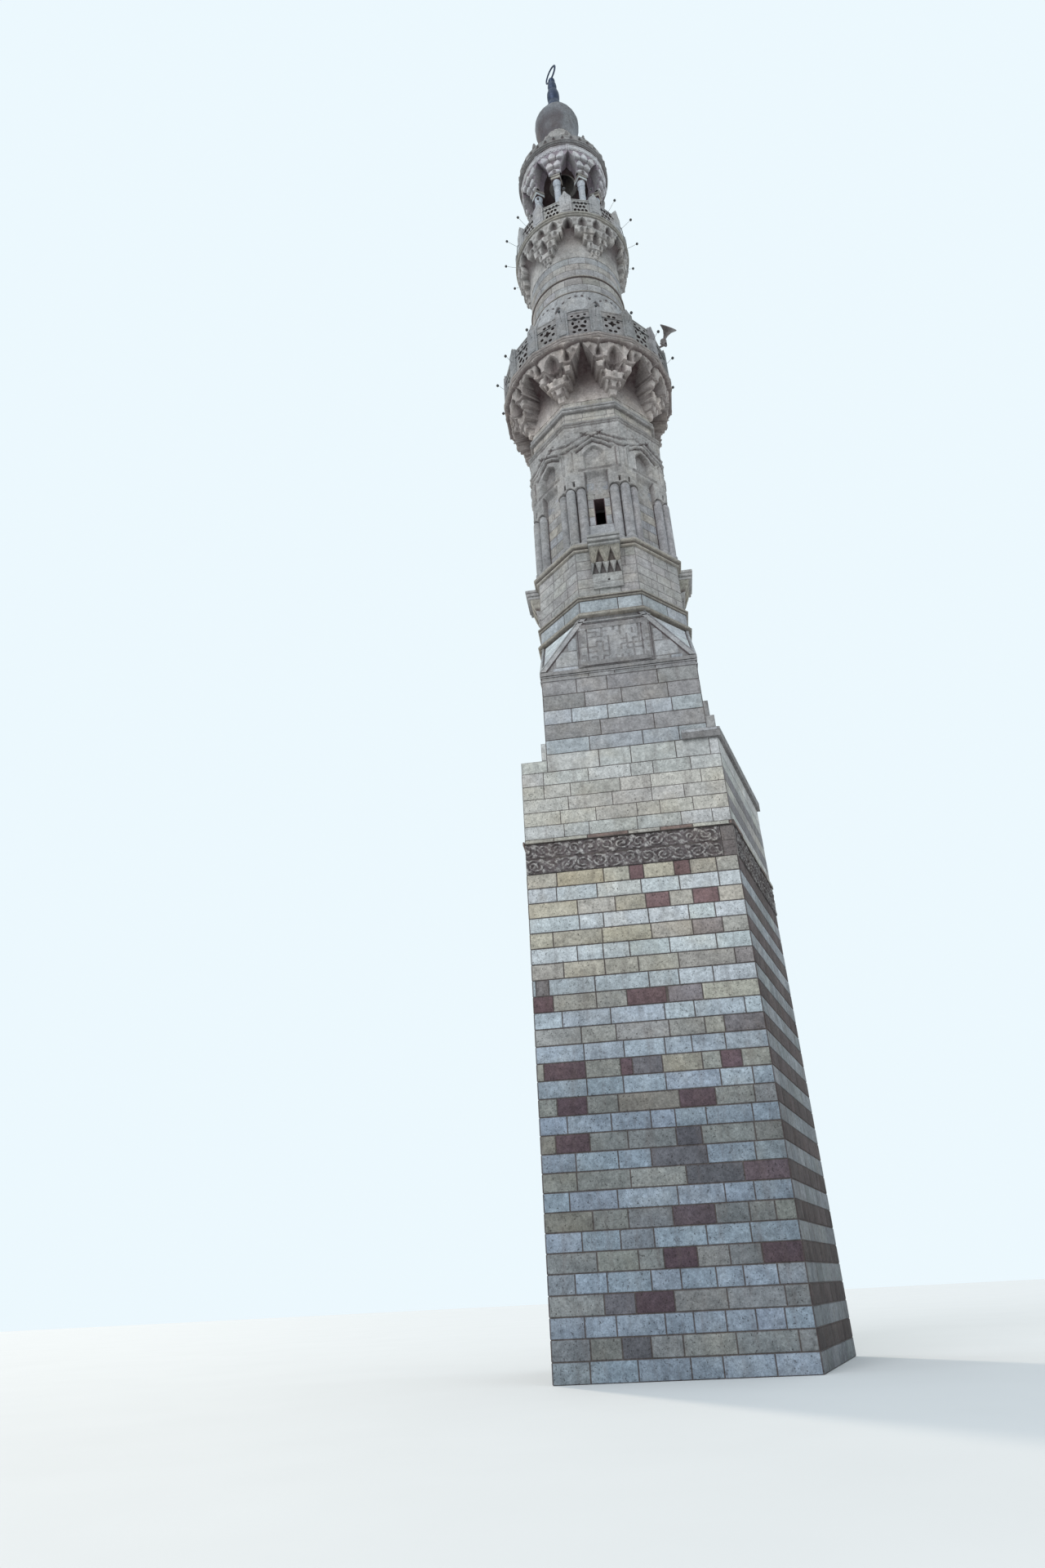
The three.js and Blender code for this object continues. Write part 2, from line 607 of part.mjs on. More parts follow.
// A wall segment between two angles, counted in degrees from the right, anticlockwise
function drumSegment(from, to) {
  const wedge = new THREE.Shape();
  wedge.absarc(0, 0, DRUM_RADIUS * 2, from * DEG, to * DEG, false);
  wedge.lineTo(0, 0);
  const height = DRUM_DOOR_HEIGHT;
  const slice = new THREE.ExtrudeGeometry(wedge, { depth: height, bevelEnabled: false, curveSegments: 8 });
  const ring = prism(circle(DRUM_RADIUS), height, [polygon(SIDES, DRUM_BORE)]);
  return geometryOf(solid(ring).intersect(solid(slice)));
}

function makeDrum() {
  const doorLeft = 90 + DOOR_HALF_ANGLE;
  const doorRight = 450 - DOOR_HALF_ANGLE;
  add('drum_wall_left', drumSegment(doorLeft, 210 - SEAM), STONE, DRUM_LEVEL);
  add('drum_wall_front', drumSegment(210, 330), STONE, DRUM_LEVEL);
  add('drum_wall_right', drumSegment(330 + SEAM, doorRight), STONE, DRUM_LEVEL);
  const height = DRUM_FACE + CORBEL2_HEIGHT - DRUM_DOOR_HEIGHT;
  const out = DRUM_RADIUS + ROLL_REACH;
  const profile = [[0, 0], [DRUM_RADIUS, 0]];
  for (const z of ROLLS) {
    profile.push([DRUM_RADIUS, z - ROLL_HALF], [out, z - ROLL_HALF / 2]);
    profile.push([out, z + ROLL_HALF / 2], [DRUM_RADIUS, z + ROLL_HALF]);
  }
  profile.push([DRUM_RADIUS, height], [0, height]);
  const body = solid(turned(profile, ROUND_STEPS)).rotate([0, 0, 180 / ROUND_STEPS]);
  const shaft = body.subtract(borehole(polygon(SIDES, DRUM_BORE), height));
  add('round_shaft', geometryOf(shaft), STONE, DRUM_LEVEL + DRUM_DOOR_HEIGHT);
}

// Open pavilion: eight columns on one octagonal plinth, an arcade of keel arches, and the cornice
const COLUMN_RING = 970;
const COLUMN_RADIUS = 95;
const PAVILION_ARCH_HALF = 235;
const PAVILION_ARCH_SPRING = 180;
const PAVILION_ARCH_APEX = 800;

function makePavilion() {
  const plinth = prism(polygon(SIDES, COLUMN_RING + 130), PLINTH_HEIGHT, [polygon(SIDES, COLUMN_RING - 190)]);
  const r = COLUMN_RADIUS;
  const h = COLUMN_HEIGHT + PLINTH_HEIGHT;
  const profile = [
    [0, 10],
    [r + 35, 10],
    [r + 35, PLINTH_HEIGHT + 90],
    [r, PLINTH_HEIGHT + 140],
    [r, h - 330],
    [r + 45, h - 130],
    [r + 45, h],
    [0, h],
  ];
  const column = solid(turned(profile, 12)).translate([0, -COLUMN_RING, 0]);
  const columns = around(SIDES, 180 / SIDES, () => column);
  const standing = joined([solid(plinth), ...columns]);
  add('pavilion_columns', geometryOf(standing), MARBLE, PAVILION_LEVEL, HALF_SIDE);
  const ring = turned([
    [800, 0],
    [1110, 0],
    [1130, 120],
    [1290, 640],
    [1340, ARCADE_HEIGHT],
    [800, ARCADE_HEIGHT],
    [800, 0],
  ], ROUND_STEPS);
  const outline = keelArch(PAVILION_ARCH_HALF, -10, PAVILION_ARCH_SPRING, PAVILION_ARCH_APEX);
  const arch = frontCutter(outline, 500, 1600);
  const arches = around(SIDES, 0, () => arch);
  const arcade = solid(ring).subtract(joined(arches));
  add('pavilion_arcade', geometryOf(arcade), STONE, ARCADE_LEVEL, HALF_SIDE);
}

// The pavilion's cornice carries a low crest wall with upright stubs, and some of the stubs are missing
const CREST_IN = 1300;
const CREST_OUT = 1410;
const CREST_HEIGHT = 280;
const STUB_HALF = 55;
const STUB_HEIGHTS = [500, 440, 0, 520, 330, 500, 0, 470, 520, 0, 380, 500, 450, 0, 520, 300];

function makeCornice() {
  const slab = turned([
    [0, 0],
    [1370, 0],
    [1390, 60],
    [1430, 75],
    [1430, CORNICE_HEIGHT],
    [0, CORNICE_HEIGHT],
  ], ROUND_STEPS);
  const wallTop = CORNICE_HEIGHT + CREST_HEIGHT;
  const wall = turned([
    [CREST_IN, CORNICE_HEIGHT - 10],
    [CREST_OUT, CORNICE_HEIGHT - 10],
    [CREST_OUT, wallTop],
    [CREST_IN, wallTop],
    [CREST_IN, CORNICE_HEIGHT - 10],
  ], ROUND_STEPS);
  const stubs = [];
  STUB_HEIGHTS.forEach((rise, i) => {
    if (rise > 0) {
      const stub = solid(block(-STUB_HALF, -CREST_OUT + 5, CORNICE_HEIGHT - 10, STUB_HALF, -CREST_IN - 5,
        CORNICE_HEIGHT + rise));
      stubs.push(stub.rotate([0, 0, (360 * i) / STUB_HEIGHTS.length]));
    }
  });
  const cornice = joined([solid(slab), solid(wall), ...stubs]);
  add('pavilion_cornice', geometryOf(cornice), STONE, CORNICE_LEVEL, HALF_SIDE);
}

// Bulb, its neck, the finial and the crescent
const NECK = [
  [0, 0],
  [1000, 0],
  [1000, 320],
  [890, 420],
  [770, 900],
  [650, 1450],
  [570, 1950],
  [550, NECK_HEIGHT],
  [0, NECK_HEIGHT],
];
const BULB_FOOT = [[0, 0], [530, 0], [600, 350], [665, 650], [720, 900]];
const BULB_TOP_ANGLE = 71.4;
const BULB_STEPS = 6;
const FINIAL = [
  [0, 0],
  [200, 0],
  [256, 200],
  [250, 620],
  [180, 900],
  [170, 960],
  [210, 1130],
  [205, 1450],
  [140, 1620],
  [130, 1680],
  [152, 1800],
  [148, 2020],
  [95, 2170],
  [90, 2220],
  [120, 2290],
  [110, 2360],
  [60, FINIAL_HEIGHT],
  [0, FINIAL_HEIGHT],
];
const CRESCENT_RADIUS = 320;
const CRESCENT_INSIDE = 245;
const CRESCENT_OFFSET = 18;
const CRESCENT_THICK = 56;
const CRESCENT_LIFT = 40;
const CRESCENT_TURN = -52;

function makeTop() {
  add('bulb_neck', turned(NECK, ROUND_STEPS), STONE, NECK_LEVEL);
  const bulb = [...BULB_FOOT];
  for (let i = 0; i <= BULB_STEPS; i += 1) {
    const angle = (BULB_TOP_ANGLE * DEG * i) / BULB_STEPS;
    bulb.push([BULB_RADIUS * Math.cos(angle), BULB_CENTRE + BULB_RADIUS * Math.sin(angle)]);
  }
  bulb[bulb.length - 1][1] = BULB_HEIGHT;
  bulb.push([0, BULB_HEIGHT]);
  add('bulb_dome', turned(bulb, ROUND_STEPS), STONE, BULB_LEVEL);
  add('finial', turned(FINIAL, 16), BRONZE, FINIAL_LEVEL);
  const disc = new THREE.Shape();
  disc.absarc(0, 0, CRESCENT_RADIUS, 0, 2 * Math.PI, false);
  const moon = new THREE.Path();
  moon.absarc(-CRESCENT_OFFSET, CRESCENT_OFFSET, CRESCENT_INSIDE, 0, 2 * Math.PI, true);
  disc.holes.push(moon);
  const thick = CRESCENT_THICK;
  const plate = new THREE.ExtrudeGeometry(disc, { depth: thick, bevelEnabled: false, curveSegments: 32 });
  const centre = CRESCENT_LIFT + CRESCENT_RADIUS;
  const ring = solid(plate.rotateX(Math.PI / 2).translate(0, thick / 2, centre));
  const peg = solid(turned([[0, 0], [40, 0], [30, 80], [0, 80]], 8));
  add('crescent', geometryOf(ring.add(peg)), BRONZE, CRESCENT_LEVEL, CRESCENT_TURN);
}

// Festoon lamps: a hoop round a parapet's posts, with a bulb on an arm at every post
const HOOP_THICK = 16;
const ARM_HALF = 7;
const ARM_LIFT = 140;
const LAMP_RADIUS = 52;

function makeLamps(name, parapetFlat, reach, level, turn) {
  const postFace = parapetFlat / Math.cos(Math.PI / BALCONY_SIDES) + POST_PROUD + TOUCH;
  const hoop = solid(prism(polygon(BALCONY_SIDES, postFace + HOOP_THICK), HOOP_THICK,
    [polygon(BALCONY_SIDES, postFace)]));
  const arm = [];
  for (const [y, z] of [[-postFace - 2, 0], [-reach, ARM_LIFT]]) {
    arm.push(new THREE.Vector3(-ARM_HALF, y, z), new THREE.Vector3(ARM_HALF, y, z));
    arm.push(new THREE.Vector3(0, y, z + HOOP_THICK));
  }
  const bulb = new THREE.IcosahedronGeometry(LAMP_RADIUS, 0).translate(0, -reach, ARM_LIFT + HOOP_THICK);
  const lamp = solid(new ConvexGeometry(arm)).add(solid(bulb));
  const lamps = around(BALCONY_SIDES, 0, () => lamp);
  add(name, geometryOf(joined([hoop, ...lamps])), LAMP_METAL, level, turn);
}

// Horn loudspeaker in a forked bracket. The bracket's bar lies on the lower parapet and reaches out of it.
const HORN_BEARING = 70;
const HORN_RADIUS = 2310;
const HORN_TURN = 33;
const HORN_RISE = 35;
const HORN_LIFT = 150;
const HORN_LENGTH = 360;
const MOUTH_RADIUS = 230;
const YOKE_HALF = 72;
const STRAP = 12;

function makeHorn() {
  const level = DRUM_LEVEL + PARAPET1_HEIGHT;
  const bearing = HORN_BEARING * DEG;
  const at = [HORN_RADIUS * Math.sin(bearing), -HORN_RADIUS * Math.cos(bearing), 0];
  const barIn = -PARAPET1_FLAT + PARAPET1_THICK;
  const bar = solid(block(-30, -HORN_RADIUS, 0, 30, barIn, STRAP)).rotate([0, 0, HORN_BEARING]);
  const width = YOKE_HALF + STRAP;
  const yoke = [
    solid(block(-width, -30, 0, width, 30, STRAP)),
    solid(block(-width, -25, 0, -YOKE_HALF, 25, HORN_LIFT + 25)),
    solid(block(YOKE_HALF, -25, 0, width, 25, HORN_LIFT + 25)),
  ];
  const fork = joined(yoke).rotate([0, 0, HORN_TURN]).translate(at);
  add('horn_bracket', geometryOf(bar.add(fork)), HORN_METAL, level);
  const driver = YOKE_HALF - TOUCH;
  const profile = [
    [0, -90],
    [driver - 12, -90],
    [driver, -70],
    [driver, 50],
    [40, 75],
    [60, 150],
    [115, 250],
    [MOUTH_RADIUS, HORN_LENGTH - 18],
    [MOUTH_RADIUS, HORN_LENGTH],
    [MOUTH_RADIUS - 18, HORN_LENGTH],
    [98, 258],
    [40, 155],
    [0, 120],
  ];
  const horn = solid(turned(profile, 20)).rotate([90 - HORN_RISE, 0, HORN_TURN]);
  const lifted = horn.translate([at[0], at[1], HORN_LIFT]);
  add('horn_loudspeaker', geometryOf(lifted), HORN_METAL, level);
}

makePier();
makeShoulders();
makeSquareShaft();
makeTransition();
makeOctagons();
makeBalconettes();
makeColonnettes();
makeBlindArcade();
makeCorbels();
makeBalconyFloors();
makeParapets();
makeDrum();
makePavilion();
makeCornice();
makeTop();
makeLamps('lamps_lower', PARAPET1_FLAT, 2420, DRUM_LEVEL + 594, HALF_SIDE);
makeLamps('lamps_upper', PARAPET2_FLAT, 2000, PAVILION_LEVEL + 394, 0);
makeHorn();

export default minaret;
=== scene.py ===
import math
import random

import bmesh
import bpy
import numpy as np
from mathutils import Matrix, Vector
from mathutils.geometry import delaunay_2d_cdt


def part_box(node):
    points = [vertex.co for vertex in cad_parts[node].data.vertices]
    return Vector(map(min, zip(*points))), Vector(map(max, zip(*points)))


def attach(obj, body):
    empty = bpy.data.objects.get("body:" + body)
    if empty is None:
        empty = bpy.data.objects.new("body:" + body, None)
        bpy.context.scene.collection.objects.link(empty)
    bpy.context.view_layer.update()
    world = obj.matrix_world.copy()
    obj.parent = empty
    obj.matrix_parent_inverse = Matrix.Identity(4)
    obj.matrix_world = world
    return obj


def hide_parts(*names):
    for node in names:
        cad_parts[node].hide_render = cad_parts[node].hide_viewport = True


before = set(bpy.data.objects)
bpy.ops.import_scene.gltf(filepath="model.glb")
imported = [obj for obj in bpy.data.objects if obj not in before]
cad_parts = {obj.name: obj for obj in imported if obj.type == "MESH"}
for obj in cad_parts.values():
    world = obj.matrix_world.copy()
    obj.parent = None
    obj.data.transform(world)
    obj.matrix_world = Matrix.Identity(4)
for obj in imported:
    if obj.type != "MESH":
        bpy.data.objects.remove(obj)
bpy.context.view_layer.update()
rng = random.Random(7)

# Linear colours of the stones and metals
GREY = (0.318, 0.312, 0.316)
WARM_GREY = (0.340, 0.318, 0.292)
COOL_GREY = (0.318, 0.334, 0.362)
PALE = (0.44, 0.467, 0.480)
BUFF = (0.385, 0.352, 0.285)
OCHRE = (0.37, 0.30, 0.22)
MAROON = (0.135, 0.078, 0.080)
ROUGH = (0.20, 0.175, 0.170)
BAND_DARK = (0.165, 0.146, 0.148)
CHALK_AND_HIGHLIGHT = (0.50, 0.48, 0.46)
MORTAR = (0.10, 0.086, 0.080)
# Red-brown of soot, also the colour of the painted shade in recesses, creases and the capitals' narrow rings
SOOT_AND_SHADE = (0.055, 0.033, 0.034)
CORBEL = (0.385, 0.345, 0.325)
MOSS = (0.30, 0.275, 0.205)
MARBLE_PALE = (0.385, 0.41, 0.45)
BRONZE_DARK = (0.06, 0.055, 0.075)
LAMP_DARK = (0.05, 0.055, 0.06)
BRONZE_BLUE = (0.028, 0.042, 0.080)
PATINA = (0.03, 0.045, 0.06)
HORN_GREY = (0.25, 0.23, 0.23)
RUST = (0.09, 0.05, 0.035)
# Mauve of the pavilion's arcade, darkened with painted shade inside the arches
ARCADE_SHADE = (0.27, 0.23, 0.26)
SLIT_PAINTED_SHADE = (0.12, 0.08, 0.085)
WARM_PATCH = (1.05, 0.97, 0.86)
PIT = (0.085, 0.068, 0.062)
RAIN_STREAK = (0.11, 0.085, 0.08)
SKY = (0.84, 0.94, 0.99)
SKY_LIGHT = (0.98, 0.98, 1.0)
LOW_SUN = (1.0, 0.86, 0.68)
FLOOR_LIGHT = (0.62, 0.63, 0.64)
FLOOR_DARK = (0.56, 0.57, 0.58)

# Height of the pier's courses, and the grid of the fine carving, in metres
COURSE = 0.29
FINE_CELL = 0.0125
# How far a dressed stone's back stands inside the wall
STONE_ROOT = 0.012
TURN = 2 * math.pi
SHARP_ANGLE = math.radians(32)
TINY = 1e-6


def span(node):
    low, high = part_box(node)
    return low.z, high.z


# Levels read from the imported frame
BAND_Z = span("carved_band")
STRING_Z = span("string_course")
UPPER_Z = span("upper_base")
SHAFT_Z = span("shaft_wall_front")
TRANS_Z = span("transition")
MOULD_Z = span("octagon_base_moulding")
LOWER_Z = span("lower_octagon")
LEDGE_Z = span("ledge_moulding")
UPOCT_Z = span("upper_octagon")
CORBEL1_Z = span("balcony1_muqarnas")
RIM1_Z = span("balcony1_floor")
DRUM_LOW = span("drum_wall_front")[0]
CORBEL2_Z = span("balcony2_muqarnas")
RIM2_Z = span("balcony2_floor")
PLINTH_LOW = RIM2_Z[1]
ARCADE_Z = span("pavilion_arcade")
CORNICE_LOW = ARCADE_Z[1]
NECK_LOW = span("bulb_neck")[0]
BULB_LOW = span("bulb_dome")[0]
FINIAL_LOW = span("finial")[0]
CRESCENT_LOW = span("crescent")[0]

# Distance of each storey's flat sides from the axis, radii, and other sizes
SHAFT_FLAT = 1.6
PANEL_HALF = 0.79
LOWER_FLAT = 1.6
UPPER_FLAT = 1.5
ARCADE_FLAT = 1.62
DRUM_R = 1.31
BALCONY1_R = 2.275
BALCONY2_R = 1.70
COLUMN_RING = 0.97
# Degrees by which the pavilion is turned
PAVILION_TURN = 11.25
# Where the heads of the corner ribs start, above the octagon's foot
RIB_TOP = 1.66


# A shape gathers closed solids for one piece, with a tint and a share of soot and painted shade at every
# point
class Shape:
    def __init__(self):
        self.points, self.faces, self.tints, self.soots_and_shades = [], [], [], []
        self.count = 0

    def add(self, points, faces, tint, soot_and_shade=0.0):
        points = np.asarray(points, float).reshape(-1, 3)
        n = len(points)
        self.faces.extend([int(i) + self.count for i in face] for face in faces)
        self.points.append(points)
        self.tints.append(np.broadcast_to(np.asarray(tint, float), (n, 3)))
        self.soots_and_shades.append(np.broadcast_to(np.asarray(soot_and_shade, float), (n,)))
        self.count += n

    def piece(self, name, material, replaces=()):
        mesh = bpy.data.meshes.new(name)
        mesh.from_pydata(np.concatenate(self.points).tolist(), [], self.faces)
        bm = bmesh.new()
        bm.from_mesh(mesh)
        bmesh.ops.recalc_face_normals(bm, faces=bm.faces)
        bm.to_mesh(mesh)
        bm.free()
        tint = mesh.attributes.new("tint", "FLOAT_VECTOR", "POINT")
        tint.data.foreach_set("vector", np.concatenate(self.tints).astype(np.float32).ravel())
        soot_and_shade = mesh.attributes.new("soot_and_shade", "FLOAT", "POINT")
        soot_and_shade.data.foreach_set("value", np.concatenate(self.soots_and_shades).astype(np.float32))
        mesh.materials.append(material)
        obj = bpy.data.objects.new(name, mesh)
        bpy.context.scene.collection.objects.link(obj)
        mesh.shade_smooth()
        mesh.set_sharp_from_angle(angle=SHARP_ANGLE)
        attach(obj, "root")
        if replaces:
            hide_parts(*replaces)


# Frames turn (along, up, out) into the part's own space
def flat_frame(degrees, origin=(0.0, 0.0)):
    c, s = math.cos(math.radians(degrees)), math.sin(math.radians(degrees))

    def place(u, v, w):
        u, v, w = np.broadcast_arrays(np.asarray(u, float), v, w)
        return np.stack([origin[0] + u * c + w * s, origin[1] + u * s - w * c, v], -1)

    return place


def round_frame(radius):
    """A frame bent round the axis; along is measured on the radius"""
    def place(u, v, w):
        u, v, w = np.broadcast_arrays(np.asarray(u, float), v, w)
        angle = u / radius
        return np.stack([w * np.sin(angle), -w * np.cos(angle), v], -1)

    return place


def ripple(a, b, size, seed):
    """Smooth seeded unevenness, mostly between -1 and 1"""
    draw = np.random.default_rng(seed)
    total = 0
    for _ in range(7):
        ka, kb = draw.normal(0, 1 / size, 2)
        total = total + np.sin(ka * a + kb * b + draw.uniform(0, TURN))
    return total / 2.6


def smooth(x, low, high):
    """0 below the first value, 1 above the second, with a soft step between"""
    t = np.clip((x - low) / (high - low), 0, 1)
    return t * t * (3 - 2 * t)


def peak(x, width):
    """1 where x is 0, fading out over the width"""
    return np.exp(-((x / width) ** 2))


def shaded(colour, shades):
    """The colour at every point of a grid of shades"""
    return np.asarray(colour)[None, None, :] * shades[..., None]


def lifted(profile, foot):
    """A profile with its levels measured from a foot"""
    return [(r, z + foot) for r, z in profile]


def half_side(flat, sides=8):
    """Half the length of a polygon's side whose middle is flat from the axis"""
    return flat * math.tan(math.pi / sides)


def pairs(count):
    """Every index with the next one, and the last with the first"""
    return [(i, (i + 1) % count) for i in range(count)]


def around(columns):
    """Angles all round the axis, each in the middle of its column"""
    return (np.arange(columns) + 0.5) / columns * TURN - math.pi


def quads(rows, columns, wrap):
    """Faces of a grid of points, row by row"""
    i, j = np.meshgrid(np.arange(rows - 1), np.arange(columns if wrap else columns - 1), indexing="ij")
    i, j = i.ravel(), j.ravel()
    k = (j + 1) % columns
    return np.stack([i * columns + j, i * columns + k, (i + 1) * columns + k, (i + 1) * columns + j], -1)


def torus_quads(rows, columns):
    """Faces of a grid of points whose last row also joins the first"""
    last = (rows - 1) * columns
    return quads(rows, columns, True).tolist() + [[last + j, last + k, k, j] for j, k in pairs(columns)]


def ring(shape, angles, levels, radii, bore, tint, soot_and_shade=0.0):
    """A closed ring round the axis: its outer face has a radius at each level and angle"""
    m, n = len(angles), len(levels)
    bore = np.broadcast_to(bore, (1, m))
    rows = np.concatenate([radii, bore, bore])
    heights = np.concatenate([levels, [levels[-1], levels[0]]])[:, None]
    points = np.stack(np.broadcast_arrays(rows * np.sin(angles), -rows * np.cos(angles), heights), -1)
    full_soot_and_shade = np.zeros((n + 2, m))
    full_soot_and_shade[:n] = soot_and_shade
    full_tint = np.empty((n + 2, m, 3))
    full_tint[:] = tint if np.ndim(tint) == 1 else tint[0, 0]
    if np.ndim(tint) == 3:
        full_tint[:n] = tint
    shape.add(points, torus_quads(n + 2, m), full_tint.reshape(-1, 3), full_soot_and_shade.ravel())


def relief(shape, place, us, vs, out, back, tint, soot_and_shade=0.0, hidden=0.0):
    """A closed plate whose front face has a height at each point of a grid; hidden is the soot and painted
    shade of its back and sides
    """
    n, m = len(vs), len(us)
    u, v = np.meshgrid(us, vs)
    front = place(u, v, out).reshape(-1, 3)
    rim = [(0, j) for j in range(m)] + [(i, m - 1) for i in range(1, n)]
    rim += [(n - 1, j) for j in range(m - 2, -1, -1)] + [(i, 0) for i in range(n - 2, 0, -1)]
    behind = np.array([place(us[j], vs[i], back) for i, j in rim])
    base, count = n * m, len(rim)
    faces = quads(n, m, False).tolist()
    spots = [i * m + j for i, j in rim]
    faces += [[spots[a], base + a, base + b, spots[b]] for a, b in pairs(count)]
    faces.append([base + a for a in range(count)])
    soots_and_shades = np.concatenate([np.broadcast_to(soot_and_shade, (n, m)).ravel(), np.full(count, hidden)])
    tints = np.broadcast_to(tint, (n, m, 3)).reshape(-1, 3)
    tints = np.concatenate([tints, np.broadcast_to(tints[0], (count, 3))])
    shape.add(np.concatenate([front, behind]), faces, tints, soots_and_shades)


def lathe(shape, profile, steps, tint, soot_and_shade=0.0, centre=(0.0, 0.0), lift=0.0, phase=0.0, scale=1.0,
          closed=False):
    """A turned solid; its profile starts and ends on the axis, or is a closed loop"""
    angles = np.arange(steps) * TURN / steps + phase
    rows = profile if closed else profile[1:-1]
    n = len(rows)
    r = np.array([p[0] for p in rows])[:, None] * scale
    z = np.array([p[1] for p in rows])[:, None] + lift
    x, y = centre[0] + r * np.sin(angles), centre[1] - r * np.cos(angles)
    points = np.stack(np.broadcast_arrays(x, y, z), -1)
    if closed:
        shape.add(points, torus_quads(n, steps), tint, np.repeat(np.broadcast_to(soot_and_shade, (n,)), steps))
        return
    ends = [[*centre, profile[0][1] + lift], [*centre, profile[-1][1] + lift]]
    foot, last = n * steps, (n - 1) * steps
    faces = quads(n, steps, True).tolist()
    for j, k in pairs(steps):
        faces += [[foot, k, j], [foot + 1, last + j, last + k]]
    shape.add(np.concatenate([points.reshape(-1, 3), ends]), faces, tint, soot_and_shade)


def moulding(shape, sides, profile, tint, soot_and_shade=0.0, turn=0.0):
    """A polygonal ring with a closed profile of (flat, level) points; unturned, a flat faces the front"""
    lathe(shape, profile, sides, tint, soot_and_shade, phase=math.pi / sides + math.radians(turn),
          scale=1 / math.cos(math.pi / sides), closed=True)


def arch(x, s, half, foot, spring, apex):
    """Depth share of a pointed niche: 1 along its middle, 0 at its edges and outside"""
    q = np.clip((s - spring) / (apex - spring), 0, 1)
    width = np.where((s >= foot) & (s <= apex), half * (1 - q ** 1.8), 0.0)
    t = np.clip(np.abs(x) / np.maximum(width, TINY), 0, 1)
    return np.where(width > TINY, np.sqrt(1 - t * t), 0.0)


def facing(theta, sides):
    """Angle from the middle of the nearest side of a polygon that has a side to the front"""
    half = math.pi / sides
    return (theta + half) % (2 * half) - half


def carve(radius, soot_and_shade, share, depth, dark):
    """Sink a niche into a field and darken it with painted shade"""
    return radius - depth * share, np.maximum(soot_and_shade, dark * share)


def block(shape, place, u0, u1, v0, v1, base, depth, tint, soot_and_shade=0.0, steps=1, edge=0.012, rim=0.0):
    """One dressed stone: a thin slab with worn, chamfered edges; rim is the least soot and painted shade of
    its sides, in the joints between stones
    """
    points = []
    t = np.linspace(0, 1, steps + 1)
    for inset, w in ((0.0, base - STONE_ROOT), (edge * 0.25, base + depth * 0.55), (edge, base + depth)):
        a, b = u0 + inset, u1 - inset
        wobble = [rng.uniform(-0.3, 0.5) * inset for _ in range(4)]
        low = v0 + inset + wobble[0] * (1 - t) + wobble[1] * t
        high = v1 - inset - wobble[2] * (1 - t) - wobble[3] * t
        across = a + (b - a) * t
        points.append(place(across, low, w))
        points.append(place(across, high, w)[::-1])
    n = 2 * (steps + 1)
    faces = quads(3, n, True).tolist()
    for j in range(steps):
        cap = [j, j + 1, n - 2 - j, n - 1 - j]
        faces += [[c + 2 * n for c in cap], cap[::-1]]
    side_soot_and_shade = max(soot_and_shade, rim)
    shape.add(np.concatenate(points), faces, tint, np.repeat([side_soot_and_shade, side_soot_and_shade, soot_and_shade], n))


def box(shape, place, u0, u1, v0, v1, w0, w1, tint, soot_and_shade=0.0, edge=0.008):
    """A stone from the depth w0 out to w1, with softened front edges"""
    points = []
    for inset, w in ((0.0, w0), (0.0, w1 - edge), (edge, w1)):
        left, right, low, high = u0 + inset, u1 - inset, v0 + inset, v1 - inset
        points += [place(u, v, w) for u, v in ((left, low), (right, low), (right, high), (left, high))]
    shape.add(np.array(points), [[3, 2, 1, 0], [8, 9, 10, 11]] + quads(3, 4, True).tolist(), tint, soot_and_shade)


def lay(shape, place, u0, u1, levels, base, colour, holes=(), joint=0.007, depth=0.008,
        length=(0.40, 0.74), bend=0, edge=0.012, rim=0.35):
    """Courses of dressed stones between two ends, round any holes (u0, u1, v0, v1)"""
    shortest_stone, shortest_run, overlap, half = 0.2, 0.03, 0.02, joint / 2
    for course, (v0, v1) in enumerate(zip(levels, levels[1:])):
        left = u0(v0) if callable(u0) else u0
        right = u1(v0) if callable(u1) else u1
        runs = [(left, right)]
        for h0, h1, low, high in holes:
            if v1 > low + overlap and v0 < high - overlap:
                runs = [r for a, b in runs for r in ((a, min(b, h0)), (max(a, h1), b))
                        if r[1] - r[0] > shortest_run]
        for u, end in runs:
            while u < end - 0.01:
                step = rng.uniform(*length)
                if end - (u + step) < shortest_stone:
                    step = end - u
                tint, soot_and_shade, rise = colour(course)
                steps = max(1, round(step * bend))
                block(shape, place, u + half, u + step - half, v0 + half, v1 - half, base,
                      depth * rise, tint, soot_and_shade, steps, edge, rim)
                u += step


def shade(colour, low=0.88, high=1.1):
    """The colour made a little darker or lighter, with a slight change of hue"""
    k = rng.uniform(low, high)
    return tuple(c * k * rng.uniform(0.985, 1.015) for c in colour)


def blend(a, b, t):
    return tuple(x * (1 - t) + y * t for x, y in zip(a, b))


def tone(colour, k):
    return tuple(c * k for c in colour)


